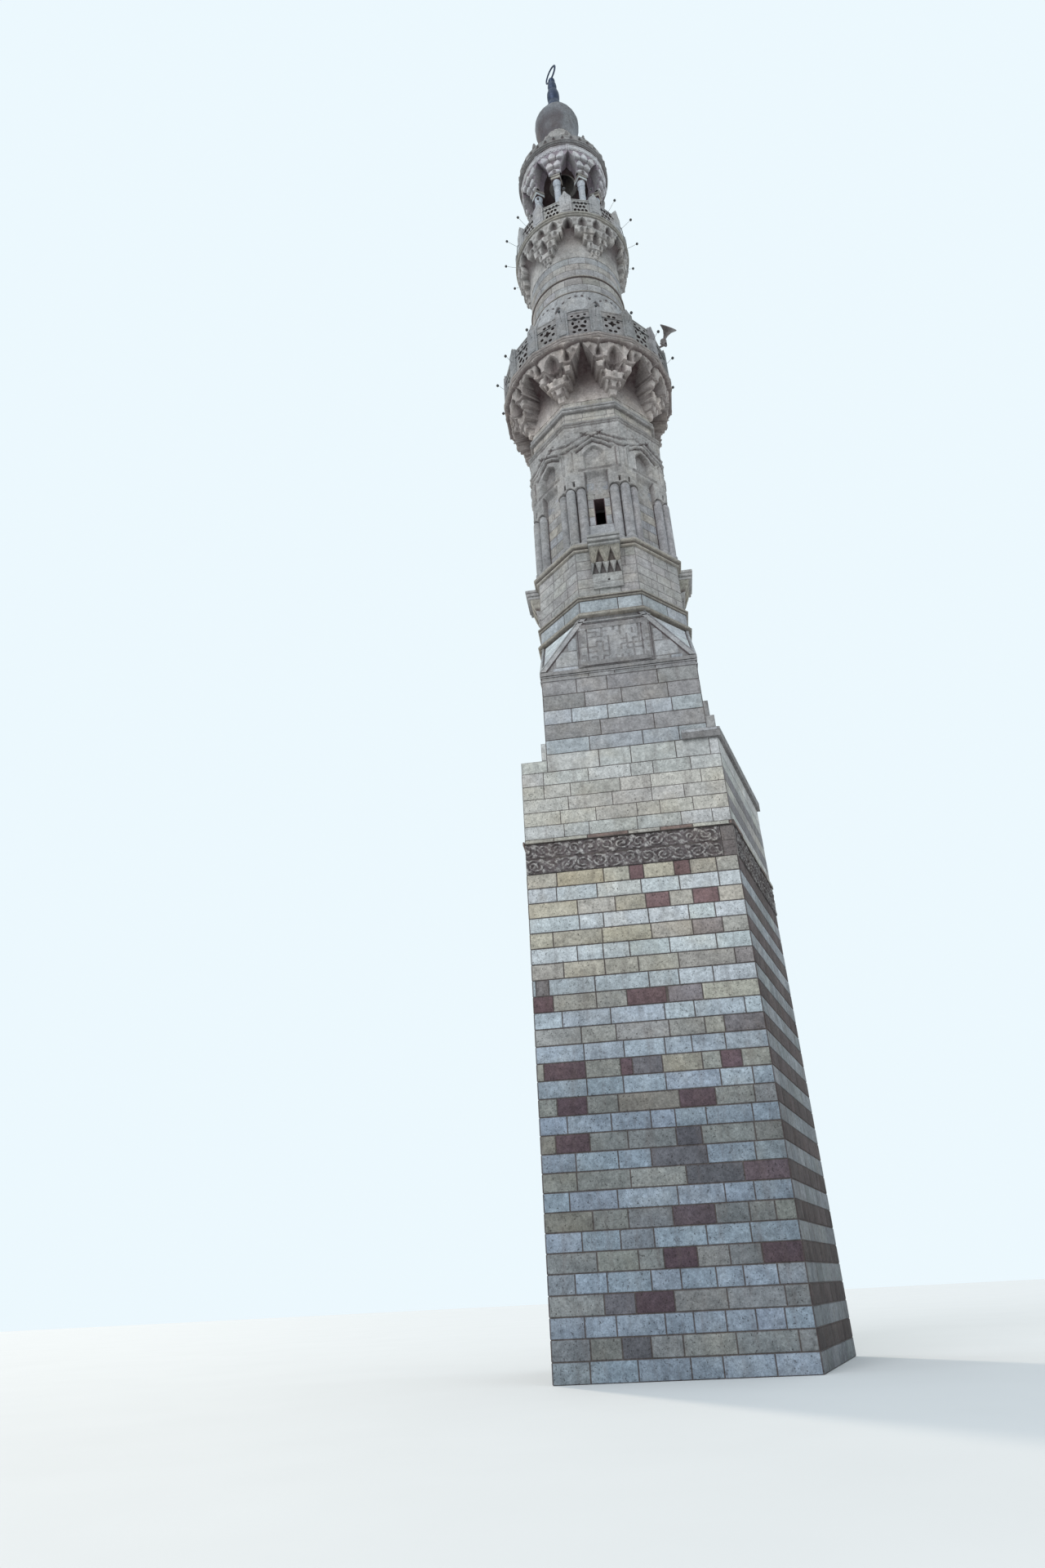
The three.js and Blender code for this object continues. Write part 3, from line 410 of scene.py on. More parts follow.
# Materials
class Look:
    def __init__(self, name, roughness, metallic=0.0):
        self.material = bpy.data.materials.new(name)
        self.material.use_nodes = True
        self.tree = self.material.node_tree
        self.shader = self.tree.nodes["Principled BSDF"]
        self.shader.inputs["Roughness"].default_value = roughness
        self.shader.inputs["Metallic"].default_value = metallic
        self.place = self.tree.nodes.new("ShaderNodeTexCoord").outputs["Object"]

    def put(self, target, value):
        if isinstance(value, bpy.types.NodeSocket):
            self.tree.links.new(value, target)
        else:
            target.default_value = value

    def noise(self, size, detail=4.0, rough=0.55, stretch=None):
        node = self.tree.nodes.new("ShaderNodeTexNoise")
        place = self.place
        if stretch:
            mapping = self.tree.nodes.new("ShaderNodeMapping")
            mapping.inputs["Scale"].default_value = stretch
            self.put(mapping.inputs["Vector"], place)
            place = mapping.outputs["Vector"]
        self.put(node.inputs["Vector"], place)
        node.inputs["Scale"].default_value = 1 / size
        node.inputs["Detail"].default_value = detail
        node.inputs["Roughness"].default_value = rough
        return node.outputs["Fac"]

    def scale(self, value, low, high, to_low=0.0, to_high=1.0):
        node = self.tree.nodes.new("ShaderNodeMapRange")
        names = ("Value", "From Min", "From Max", "To Min", "To Max")
        for name, v in zip(names, (value, low, high, to_low, to_high)):
            self.put(node.inputs[name], v)
        return node.outputs["Result"]

    def sum(self, kind, a, b):
        node = self.tree.nodes.new("ShaderNodeMath")
        node.operation = kind
        self.put(node.inputs[0], a)
        self.put(node.inputs[1], b)
        return node.outputs[0]

    def mix(self, share, a, b, kind="MIX"):
        node = self.tree.nodes.new("ShaderNodeMix")
        node.data_type = "RGBA"
        node.blend_type = kind
        self.put(node.inputs[0], share)
        self.put(node.inputs[6], a)
        self.put(node.inputs[7], b)
        return node.outputs[2]

    def grey(self, value):
        node = self.tree.nodes.new("ShaderNodeCombineColor")
        for i in range(3):
            self.put(node.inputs[i], value)
        return node.outputs[0]

    def vary(self, colour, value, low, high, to_low, to_high):
        """The colour multiplied by a grey that follows the value"""
        return self.mix(1.0, colour, self.grey(self.scale(value, low, high, to_low, to_high)), "MULTIPLY")

    def attribute(self, name, output):
        node = self.tree.nodes.new("ShaderNodeAttribute")
        node.attribute_name = name
        return node.outputs[output]

    def base_colour(self, colour):
        self.put(self.shader.inputs["Base Color"], colour)

    def bump(self, height, depth):
        node = self.tree.nodes.new("ShaderNodeBump")
        node.inputs["Strength"].default_value = 1.0
        node.inputs["Distance"].default_value = depth
        self.put(node.inputs["Height"], height)
        self.put(self.shader.inputs["Normal"], node.outputs["Normal"])


def rgba(colour):
    return (*colour, 1.0)


def stone(name, tint=None, streaks=0.3, grain=0.14, bump=0.008, roughness=0.93, stain=0.3, pitted=0.38):
    """Dressed stone: weathering, mottling, grain, pits, rain streaks, and soot and painted shade where the
    shape says so
    """
    look = Look(name, roughness)
    colour = rgba(tint) if tint else look.attribute("tint", "Color")
    broad = look.noise(1.3, 3.0)
    patch = look.noise(0.20, 5.0, 0.65)
    mottle = look.noise(0.055, 4.0, 0.75)
    fine = look.noise(0.022, 4.0, 0.7)
    pits = look.noise(0.034, 5.0, 0.75)
    colour = look.vary(colour, broad, 0.3, 0.7, 1 - stain * 0.5, 1 + stain * 0.4)
    colour = look.vary(colour, patch, 0.28, 0.72, 0.70, 1.25)
    colour = look.vary(colour, mottle, 0.3, 0.7, 0.72, 1.26)
    colour = look.vary(colour, fine, 0.3, 0.7, 1 - grain, 1 + grain)
    warm = look.noise(0.6, 4.0)
    colour = look.mix(look.scale(warm, 0.48, 0.72, 0.0, 0.45), colour, rgba(WARM_PATCH), "MULTIPLY")
    hollow = look.scale(pits, pitted, pitted - 0.07)
    colour = look.mix(look.sum("MULTIPLY", hollow, 0.6), colour, rgba(PIT))
    run = look.noise(0.16, 4.0, 0.6, stretch=(1.0, 1.0, 0.12))
    run = look.scale(run, 0.52, 0.74, 0.0, streaks)
    colour = look.mix(run, colour, rgba(RAIN_STREAK))
    # The soot share darkens the colour towards soot: real soot, and painted shade in recesses, creases and
    # under ledges
    soot_and_shade = look.attribute("soot_and_shade", "Fac")
    cloud = look.scale(patch, 0.3, 0.7, 0.75, 1.1)
    look.base_colour(look.mix(look.sum("MULTIPLY", soot_and_shade, cloud), colour, rgba(SOOT_AND_SHADE)))
    height = look.sum("ADD", look.sum("MULTIPLY", patch, 1.2), look.sum("MULTIPLY", mottle, 0.9))
    height = look.sum("ADD", height, look.sum("MULTIPLY", fine, 0.45))
    height = look.sum("SUBTRACT", height, look.sum("MULTIPLY", hollow, 0.8))
    look.bump(height, bump)
    look.shader.inputs["Specular IOR Level"].default_value = 0.25
    return look.material


def metal(name, colour, roughness, metallic, rust=RUST):
    """Painted or bare metal with worn patches"""
    look = Look(name, roughness, metallic)
    patch = look.noise(0.07, 5.0, 0.65)
    fine = look.noise(0.012, 3.0, 0.6)
    worn = look.mix(look.scale(patch, 0.45, 0.68, 0.0, 0.4), rgba(colour), rgba(rust))
    look.base_colour(look.vary(worn, fine, 0.3, 0.7, 0.85, 1.12))
    look.put(look.shader.inputs["Roughness"], look.scale(patch, 0.3, 0.7, roughness - 0.12, roughness + 0.18))
    look.bump(fine, 0.0015)
    return look.material


STONE = stone("weathered_stone")
PIER_STONE = stone("pier_stone", streaks=0.35, grain=0.2, bump=0.012, stain=0.35, pitted=0.395)
MORTAR_LOOK = stone("mortar", MORTAR, streaks=0.2)
BACKING = stone("backing_stone", blend(GREY, MORTAR, 0.45), streaks=0.25)
ARCADE_INSIDE_PAINTED_SHADE = stone("arcade_inside_painted_shade", ARCADE_SHADE, streaks=0.25)
MARBLE_TINTED = stone("column_marble", None, streaks=0.12, grain=0.05, bump=0.002, roughness=0.6)
BRONZE = metal("dark_bronze", BRONZE_BLUE, 0.5, 0.75, rust=PATINA)
LAMP = metal("lamp_paint", LAMP_DARK, 0.45, 0.3)
HORN = metal("horn_paint", HORN_GREY, 0.5, 0.4)


# The pier: dressed courses on the mortar-coloured walls. Its street wall slants back by some degrees.
PIER_LEFT, PIER_RIGHT, PIER_FRONT, PIER_BACK = 2.12, 1.78, 1.6, 2.0
STREET_SLANT = 15.5
STREET = flat_frame(90 - STREET_SLANT, (PIER_RIGHT, -PIER_FRONT))
STREET_LONG = (PIER_FRONT + PIER_BACK) / math.cos(math.radians(STREET_SLANT))
BACK_RIGHT = 2.78
FRONT, STREET_SIDE, BACK = 0, 1, 2
# Frame, left end, right end and distance out of each side, in the order front, street, back, left
PIER_FACES = [
    (flat_frame(0), -PIER_LEFT, PIER_RIGHT, PIER_FRONT),
    (STREET, 0.0, STREET_LONG, 0.0),
    (flat_frame(180), -BACK_RIGHT, PIER_LEFT, PIER_BACK),
    (flat_frame(-90), -PIER_BACK, PIER_FRONT, PIER_LEFT),
]


# Dark stones seen in the front's buff courses: course, then start, end and colour of each
DARK_STONES = {
    27: [(-0.21, 0.05, MAROON), (0.61, 0.90, MAROON)],
    25: [(0.03, 0.46, MAROON), (0.88, 1.34, MAROON)],
    23: [(0.80, 1.33, ROUGH)],
    21: [(1.46, 1.78, ROUGH)],
    20: [(-2.06, -1.83, ROUGH)],
    19: [(-2.12, -1.77, MAROON), (-0.48, 0.20, MAROON), (0.23, 0.82, ROUGH)],
    17: [(1.11, 1.78, ROUGH)],
    15: [(-2.0, -1.29, MAROON), (-0.70, -0.50, MAROON), (-0.50, 0.0, ROUGH), (0.97, 1.31, MAROON)],
    13: [(-1.81, -1.31, MAROON), (0.21, 0.80, MAROON)],
    11: [(-1.87, -1.31, MAROON), (0.09, 0.50, ROUGH)],
}


def with_painted_ground_shade(colour, course):
    """The pier's stones are darker and bluer towards the ground: painted shade of the street round its foot
    """
    darkest, middle_course, by_course = 0.52, 14, 0.045
    k = min(1.0, max(darkest, 0.60 + by_course * (course - middle_course)))
    red, green, blue = tone(colour, 1.13 * k)
    return (red * (0.78 + 0.22 * k), green, blue * (1.35 - 0.35 * k))


def pier_colour(course, quiet=False):
    """Buff and pale courses by turns, with a few dark stones; quiet leaves the dark ones out"""
    dark_share = 0.15
    draw = 1 - (1 - rng.random()) * (1 - dark_share if quiet else 1.0)
    rise = 1.0
    if course % 2:
        if draw < 0.08:
            tint = shade(blend(MAROON, ROUGH, rng.uniform(0, 0.4)), 0.9, 1.3)
        elif draw < dark_share:
            tint, rise = shade(ROUGH, 0.95, 1.3), 0.9
        elif draw < 0.22:
            tint = shade(blend(OCHRE, BUFF, 0.5))
        else:
            tint = shade(blend(BUFF, GREY, rng.uniform(0, 0.6)), 0.86, 1.12)
    elif draw < 0.03:
        tint, rise = shade(ROUGH, 1.1, 1.5), 0.9
    elif draw < 0.18:
        tint = shade(blend(PALE, BUFF, 0.4))
    else:
        tint = shade(PALE, 0.90, 1.09)
    return with_painted_ground_shade(tint, course), 0.0, rise


def street_colour_in_painted_shade(course):
    """The street wall is darker with painted shade of the trees, and darker still towards the ground; in
    mauve-brown and bluish courses by turns
    """
    base = blend(ROUGH, MAROON, 0.3) if course % 2 else tone(blend(COOL_GREY, PALE, 0.4), 1.25)
    return tone(shade(base, 0.85, 1.12), 0.36 + 0.28 * min(1.0, course * COURSE / 7.0)), 0.0, 1.0


def upper_colour(course):
    """Quiet pale courses with a faint warm cast"""
    bases = [blend(WARM_GREY, PALE, 0.6), BUFF, WARM_GREY, blend(WARM_GREY, BUFF, 0.5),
             blend(WARM_GREY, PALE, 0.5)]
    tint = tone(shade(blend(bases[course % 5], blend(GREY, PALE, 0.4), 0.55), 0.90, 1.10), 1.17)
    return (tint[0], tint[1] * 0.98, tint[2] * 0.95), 0.0, 0.8


def street_upper(course):
    """Pale and bluish mauve courses by turns"""
    if course % 2:
        return shade(blend(COOL_GREY, ROUGH, 0.6), 0.80, 1.0), 0.0, 0.9
    return tone(upper_colour(course)[0], 0.95), 0.0, 0.8


def lay_front(shape, place, left, right, base, levels, look):
    """The front's courses: the stones that stand out in the photograph, and random ones between them"""
    inset = 0.005
    first_known = 11
    for course, rows in enumerate(zip(levels, levels[1:])):
        u = left
        quiet = course >= first_known
        for start, end, kind in DARK_STONES.get(course, []) + [(right, right, None)]:
            if start - u > 0.05:
                lay(shape, place, u, start, rows, base, lambda c: pier_colour(course, quiet), **look)
            if kind:
                tint = with_painted_ground_shade(shade(blend(kind, ROUGH, 0.15), 0.95, 1.25), course)
                block(shape, place, start + inset, end - inset, rows[0] + inset, rows[1] - inset, base,
                      look["depth"], tint, edge=look["edge"], rim=look["rim"])
            u = end


def make_pier():
    shape = Shape()
    levels = [COURSE * i for i in range(29)]
    door = (-0.27, 0.59, 0.0, 2.32)
    # rim darkens every stone's sides: soot and painted shade in the joints
    look = {"joint": 0.009, "depth": 0.011, "length": (0.38, 0.95), "edge": 0.013, "rim": 0.6}
    for index, (place, left, right, base) in enumerate(PIER_FACES):
        if index == FRONT:
            lay_front(shape, place, left, right, base, levels, look)
        else:
            holes = [door] if index == BACK else []
            colour = street_colour_in_painted_shade if index == STREET_SIDE else pier_colour
            lay(shape, place, left, right, levels, base, colour, holes, **look)
    shape.piece("pier_courses", PIER_STONE)
    shape = Shape()
    levels = [UPPER_Z[0] + COURSE * i for i in range(6)]
    for index, (place, left, right, base) in enumerate(PIER_FACES):
        colour = street_upper if index == STREET_SIDE else upper_colour
        lay(shape, place, left, right, levels, base, colour, joint=0.006, depth=0.007, length=(0.4, 1.0))
    shape.piece("upper_courses", PIER_STONE)


# Carved band: a dense scrolling vine in two courses, a plain border round it
def vine(u, v, centre, height, seed):
    period = height
    u = u + 0.04 * ripple(u, v, 0.25, seed)
    k = np.floor(u / period)
    x = u - (k + 0.5) * period
    y = v - centre
    flip = np.where(k % 2 == 0, 1.0, -1.0)
    far = np.hypot(x * 0.8, y)
    angle = np.arctan2(y * flip, x)
    curl = np.abs((far / height * 4.4 + angle / TURN) % 1 - 0.5)
    scroll = smooth(0.23 - curl, -0.05, 0.05) * (far < height * 0.46)
    wave = centre + height * 0.38 * np.cos(math.pi * u / period)
    stem = peak(v - wave, 0.024)
    leaf_x = np.abs(x) - period * 0.5
    leaf_y = y * flip * np.sign(x)
    leaf = smooth(0.055 - np.hypot(leaf_x * 1.1, leaf_y * 0.6 + 0.05), -0.008, 0.012)
    small = smooth(0.034 - np.hypot(leaf_x * 1.2 + 0.02, leaf_y * 0.8 - 0.08), -0.008, 0.010)
    return np.clip(np.maximum.reduce([scroll, stem, leaf, small]), 0, 1)


def carve_band(shape, place, left, right, base, dull):
    """The band's carving on one side: two courses of vine, pale on their high parts with chalk and painted
    highlight, and dark between them with soot and painted shade
    """
    low, high = BAND_Z
    half = (high - low) / 2
    us = np.arange(left, right, FINE_CELL)
    vs = np.arange(low + 0.004, high - 0.004, FINE_CELL)
    u, v = np.meshgrid(us, vs)
    motif = np.where(v < low + half, vine(u, v, low + half * 0.5, half, 13),
                     vine(u + 0.11, v, low + half * 1.5, half, 14))
    border = smooth(np.minimum(v - low, high - v), 0.016, 0.008)
    border = np.maximum(border, smooth(np.minimum(u - left, right - u), 0.03, 0.018))
    seam = peak(v - low - half, 0.008)
    wear = smooth(ripple(u, v, 0.12, 3) + 0.9 * ripple(u, v, 0.03, 5), -0.9, 0.5)
    joint = peak((u + 0.2 * (v > low + half)) % 0.52 - 0.26, 0.008)
    height = np.maximum(motif * (0.35 + 0.65 * wear), 0.7 * border)
    out = base + 0.004 + 0.030 * height + 0.003 * ripple(u, v, 0.05, 9) - 0.012 * np.maximum(joint, seam)
    # Pale flakes on the raised parts: chalky weathering and painted highlight
    flake = ripple(u, v, 0.035, 21) + 0.8 * ripple(u, v, 0.014, 22)
    chalk_and_highlight = np.clip(motif * smooth(flake, -0.45, 0.8), 0, 1)[..., None]
    tint = np.asarray(BAND_DARK) * (1 - 0.7 * chalk_and_highlight) + np.asarray(CHALK_AND_HIGHLIGHT) * 0.7 * chalk_and_highlight
    # Soot and painted shade fill the low ground between the motifs and the seam
    relief(shape, place, us, vs, out, base - 0.02, tint * dull, 0.45 * (1 - height) + 0.3 * seam)


def make_band():
    shape = Shape()
    low, high = BAND_Z
    middle = low + (high - low) / 2
    gap = 0.003
    for index, (place, left, right, base) in enumerate(PIER_FACES):
        if index not in (FRONT, STREET_SIDE):
            lay(shape, place, left, right, [low, middle, high], base,
                lambda c: (shade(blend(BAND_DARK, GREY, 0.4)), 0.0, 1.0))
            continue
        # The carving stops short of the corner, where the stones are plain
        if index == FRONT:
            corner = right - 0.24
            carve_band(shape, place, left, corner, base, 1.0)
            plain = (corner, right)
        else:
            corner = 0.12
            # The street side's carving is dimmed by the last value: painted shade of the trees
            carve_band(shape, place, corner, right, base, 0.7)
            plain = (0.0, corner)
        for foot, top in ((low, middle), (middle, high)):
            block(shape, place, plain[0] + 0.004, plain[1], foot + gap, top - gap, base, 0.012, shade(ROUGH))
    shape.piece("vine_band", PIER_STONE)


def make_string():
    shape = Shape()
    low, high = STRING_Z
    for place, left, right, base in PIER_FACES:
        u = left
        while u < right - 0.01:
            step = min(rng.uniform(0.45, 0.8), right - u)
            draw = rng.random()
            tint = shade(blend(MAROON, BUFF, 0.25) if draw < 0.6 else blend(BUFF, PALE, 0.3))
            block(shape, place, u + 0.003, u + step - 0.003, low + 0.004, high - 0.004,
                  base + 0.03, 0.02, tint)
            u += step
    shape.piece("string_stones", PIER_STONE)


def grey_colour(course):
    base = [GREY, blend(GREY, WARM_GREY, 0.7), blend(GREY, COOL_GREY, 0.4), WARM_GREY][course % 4]
    return shade(base, 0.86, 1.12), rng.uniform(0.0, 0.08), 1.0


# The square shaft: wide courses, with two fillets near its head
def make_shaft():
    shape = Shape()
    low, high = SHAFT_Z
    fillet = low + 2.14
    levels = [low + v for v in (0.0, 0.39, 0.72, 1.08, 1.42, 1.78)] + [fillet, high]
    light, dark = blend(COOL_GREY, PALE, 0.4), tone(blend(GREY, ROUGH, 0.2), 0.92)
    bases = [tone(blend(WARM_GREY, PALE, 0.4), 1.2), light, tone(dark, 1.05), tone(light, 1.02)] + [dark] * 3

    def colour(course):
        rise = 1.3 if course == 3 else 1.0
        return shade(bases[course], 0.86, 1.12), rng.uniform(0.0, 0.08), rise

    for index in range(4):
        holes = [(-0.35, 0.35, low, low + 1.8)] if index == BACK else []
        lay(shape, flat_frame(90 * index), -SHAFT_FLAT, SHAFT_FLAT, levels, SHAFT_FLAT, colour, holes,
            joint=0.010, depth=0.008, length=(0.5, 1.15))
    profile = [(1.4, -0.02), (1.612, -0.02), (1.628, -0.008), (1.628, 0.006), (1.612, 0.016), (1.4, 0.016)]
    # The fillets' undersides carry painted shade
    for z in (fillet, fillet + 0.10):
        moulding(shape, 4, lifted(profile, z), GREY, [0, 0.7, 0.1, 0, 0, 0])
    shape.piece("shaft_courses", STONE)


def make_shoulders():
    """The stepped shoulders beside the shaft, the street parapet and its cornice"""
    shape = Shape()
    front = flat_frame(0)
    foot = SHAFT_Z[0]
    for x, bottom, tall in ((-PIER_LEFT, foot, 0.265), (-1.70, foot + 0.265, 0.395)):
        lay(shape, front, x, -SHAFT_FLAT, [bottom, bottom + tall], SHAFT_FLAT, upper_colour)
    parapet = [foot, foot + 0.37]
    lay(shape, front, SHAFT_FLAT, PIER_RIGHT, parapet, SHAFT_FLAT, upper_colour)
    lay(shape, STREET, 0.0, STREET_LONG, parapet, 0.0, upper_colour)
    for right, bottom, top in ((PIER_RIGHT, 0.57, 0.88), (1.70, 0.88, 1.23)):
        lay(shape, front, SHAFT_FLAT, right, [foot + bottom, foot + top], SHAFT_FLAT, grey_colour)
    shape.piece("shoulder_courses", STONE)

    shape = Shape()
    low, high = span("corner_cornice")
    # rim darkens the sides of the stepped cornice stones: painted shade under each step
    for a, b, out in ((low, low + 0.06, 0.02), (low + 0.06, low + 0.13, 0.045), (low + 0.13, high, 0.07)):
        sides = ((front, 1.09, PIER_RIGHT + out, SHAFT_FLAT), (STREET, -out, STREET_LONG, 0.0))
        for place, u0, u1, base in sides:
            tint = shade(blend(GREY, PALE, 0.2))
            block(shape, place, u0, u1, a, b - 0.004, base, out + 0.004, tint, edge=0.006, rim=0.5)
    shape.piece("cornice_mouldings", STONE)


# A generic fret: thin grooves on some of the lines of a square grid
def fret(u, v, size, seed):
    draw = np.random.default_rng(seed)
    share, width, count = 0.46, 0.015, 64
    upright, level = draw.random((count, count)) < share, draw.random((count, count)) < share
    x, y = u / size + count / 2, v / size + count / 2
    i, j = np.round(x).astype(int), np.round(y).astype(int)
    along = peak(np.abs(x - i) * size, width) * upright[i, np.floor(y).astype(int)]
    across = peak(np.abs(y - j) * size, width) * level[np.floor(x).astype(int), j]
    return np.maximum(along, across)


def plate(shape, turn, corners, rise, tint, soot_and_shade=0.0):
    """A flat stone on a polygon of (along, up, out) corners"""
    corners = np.array(corners)
    normal = np.cross(corners[1] - corners[0], corners[2] - corners[0])
    normal = normal / np.linalg.norm(normal)
    if normal[2] < 0:
        normal = -normal
    points = np.concatenate([corners - 0.01 * normal, corners + rise * normal])
    n = len(corners)
    faces = [list(range(n))[::-1], [i + n for i in range(n)]]
    faces += [[i, k, k + n, i + n] for i, k in pairs(n)]
    shape.add(flat_frame(turn)(points[:, 0], points[:, 1], points[:, 2]), faces, tint, soot_and_shade)


def make_panel(shape, index):
    """A square panel on one side of the transition: a fret field between two plain strips"""
    low = TRANS_Z[0]
    foot, head = low + 0.03, low + 1.15
    us = np.arange(-PANEL_HALF, PANEL_HALF + 0.001, FINE_CELL)
    vs = np.arange(foot, head + 0.001, FINE_CELL)
    u, v = np.meshgrid(us, vs)
    side = PANEL_HALF - np.abs(u)
    inside = np.minimum(side, np.minimum(v - foot, head - v))
    line = peak(inside - 0.020, 0.015)
    strip = peak(side - 0.215, 0.014) + 0.6 * peak(side - 0.055, 0.010)
    cross = peak((v - low + 0.12) % 0.43 - 0.215, 0.009) * (side < 0.21)
    field = smooth(side, 0.225, 0.24) * smooth(inside, 0.035, 0.05)
    pattern = fret(u, v - low, 0.128, 33 + index) * field
    grooves = np.maximum.reduce([line, np.minimum(strip, 1), cross, pattern])
    wear = smooth(ripple(u, v, 0.15, 31 + index), -1.3, 0.1)
    out = SHAFT_FLAT + 0.028 - 0.006 * field - 0.020 * grooves * (0.4 + 0.6 * wear)
    out = out + 0.004 * ripple(u, v, 0.06, 17)
    # The grooves are dark with soot and painted shade
    soot_and_shade = np.clip(0.95 * grooves * (0.5 + 0.5 * wear), 0, 1)
    tint = shaded(tone(GREY, 0.98), 1 + 0.10 * ripple(u, v, 0.3, 35 + index))
    place = flat_frame(90 * index)
    relief(shape, place, us, vs, out, SHAFT_FLAT - 0.02, tint, soot_and_shade)
    block(shape, place, -PANEL_HALF - 0.02, PANEL_HALF + 0.02, low + 1.17, low + 1.21, SHAFT_FLAT, 0.03,
          shade(GREY), edge=0.008)


def make_cut_corner(shape, index):
    """The slanting triangle between two panels: two pale stones, and a ridge along both slanting edges with a
    line of painted shade inside it
    """
    low, high = TRANS_Z
    half = half_side(LOWER_FLAT)
    turn = 45 + 90 * index
    apex = np.array([0.0, low + 0.02, SHAFT_FLAT * math.sqrt(2)])
    left = np.array([-half, high, LOWER_FLAT])
    right = np.array([half, high, LOWER_FLAT])
    centre = (apex + left + right) / 3

    def inset(p, t):
        return p + (centre - p) * t

    a, b, c = (inset(p, 0.24) for p in (apex, left, right))
    middle_left, middle_right = a + (b - a) * 0.5, a + (c - a) * 0.5
    gap = (a - b) * 0.012
    stone_tint = tone(blend(COOL_GREY, PALE, 0.75), 1.2)
    plate(shape, turn, [a, middle_left, middle_right], 0.016, shade(stone_tint))
    plate(shape, turn, [middle_left - gap, b, c, middle_right - gap], 0.016, shade(stone_tint))
    for corner in (left, right):
        for t0, t1, rise, soot_and_shade in ((0.0, 0.14, 0.036, 0.05), (0.135, 0.24, 0.006, 0.85)):
            ridge = [inset(apex, t0), inset(corner, t0), inset(corner, t1), inset(apex, t1)]
            plate(shape, turn, ridge, rise, shade(blend(GREY, COOL_GREY, 0.3)), soot_and_shade)


def make_transition():
    shape = Shape()
    low, high = TRANS_Z
    half = half_side(LOWER_FLAT)
    levels = [low + v for v in (0.0, 0.10, 0.49, 0.82, 1.13)]

    def edge(v):
        return SHAFT_FLAT - (SHAFT_FLAT - half) * (v + 0.34 - low) / (high - low)

    def flank_colour(_):
        return shade(blend(GREY, COOL_GREY, rng.uniform(0, 0.7)), 0.92, 1.12), 0.0, 1.0

    flank = {"joint": 0.012, "length": (0.3, 0.6)}
    for index in range(4):
        place = flat_frame(90 * index)
        lay(shape, place, lambda v: -edge(v), -PANEL_HALF - 0.01, levels, SHAFT_FLAT, flank_colour, **flank)
        lay(shape, place, PANEL_HALF + 0.01, edge, levels, SHAFT_FLAT, flank_colour, **flank)
        make_panel(shape, index)
        # Raised band along the cut corner's edge, and the dark line of painted shade inside it
        for hand in (-1, 1):
            for near, far, rise, tint, soot_and_shade in ((-0.005, 0.10, 0.030, tone(GREY, 1.06), 0.0),
                                                (0.10, 0.128, 0.014, GREY, 0.9)):
                band = [(SHAFT_FLAT - near, low + 0.03), (half - near, high - 0.02),
                        (half - far, high - 0.02), (SHAFT_FLAT - far, low + 0.03)]
                plate(shape, 90 * index, [(hand * x, z, SHAFT_FLAT) for x, z in band], rise, tint, soot_and_shade)
    for index in range(4):
        make_cut_corner(shape, index)
    shape.piece("transition_carving", STONE)


def plain_colour(_):
    return shade(blend(GREY, WARM_GREY, 0.4), 0.98, 1.14), 0.0, 1.0


def warm_colour(_):
    return shade(WARM_GREY, 0.98, 1.18), 0.0, 1.0


# Octagonal tiers
def make_octagons():
    shape = Shape()
    low, high = LOWER_Z
    half = half_side(LOWER_FLAT)
    levels = [low + (high - low) * i / 5 for i in range(6)]
    for index in range(8):
        lay(shape, flat_frame(45 * index), -half, half, levels, LOWER_FLAT, plain_colour, depth=0.006,
            length=(0.35, 0.6), joint=0.008)
    low = UPOCT_Z[0]
    half = half_side(UPPER_FLAT)
    slit_half, slit_low, slit_high = 0.12, low + 0.65, low + 1.44
    levels = [low + v for v in (0.1, 0.37, 0.65, 0.91, 1.18, 1.44, 1.70, 1.96)]
    upper = [low + v for v in (3.96, 4.17, 4.365)]
    head = [low + 4.565, CORBEL1_Z[0]]
    for index in range(8):
        place = flat_frame(45 * index)
        slit = index % 2 == 0
        holes = [(-slit_half, slit_half, slit_low, slit_high)] if slit else []
        lay(shape, place, -0.33, 0.33, levels, UPPER_FLAT, grey_colour, holes, depth=0.006, length=(0.2, 0.4))
        if slit:
            # Linings of the slit, dark with painted shade, and the plain stone under it
            foot, top = slit_low + 0.005, slit_high - 0.005
            for u0, u1, v0, v1 in ((-0.126, -0.110, foot, top), (0.110, 0.126, foot, top),
                                   (-slit_half, slit_half, top - 0.008, top + 0.01)):
                box(shape, place, u0, u1, v0, v1, 1.15, 1.502, SLIT_PAINTED_SHADE, 0.35, 0.002)
            box(shape, place, -0.29, 0.29, low + 0.30, low + 0.62, 1.49, 1.535, shade(blend(GREY, PALE, 0.3)))
        for rows in (upper, head):
            lay(shape, place, -half, half, rows, UPPER_FLAT, warm_colour, depth=0.006, length=(0.3, 0.6))
    shape.piece("octagon_courses", STONE)


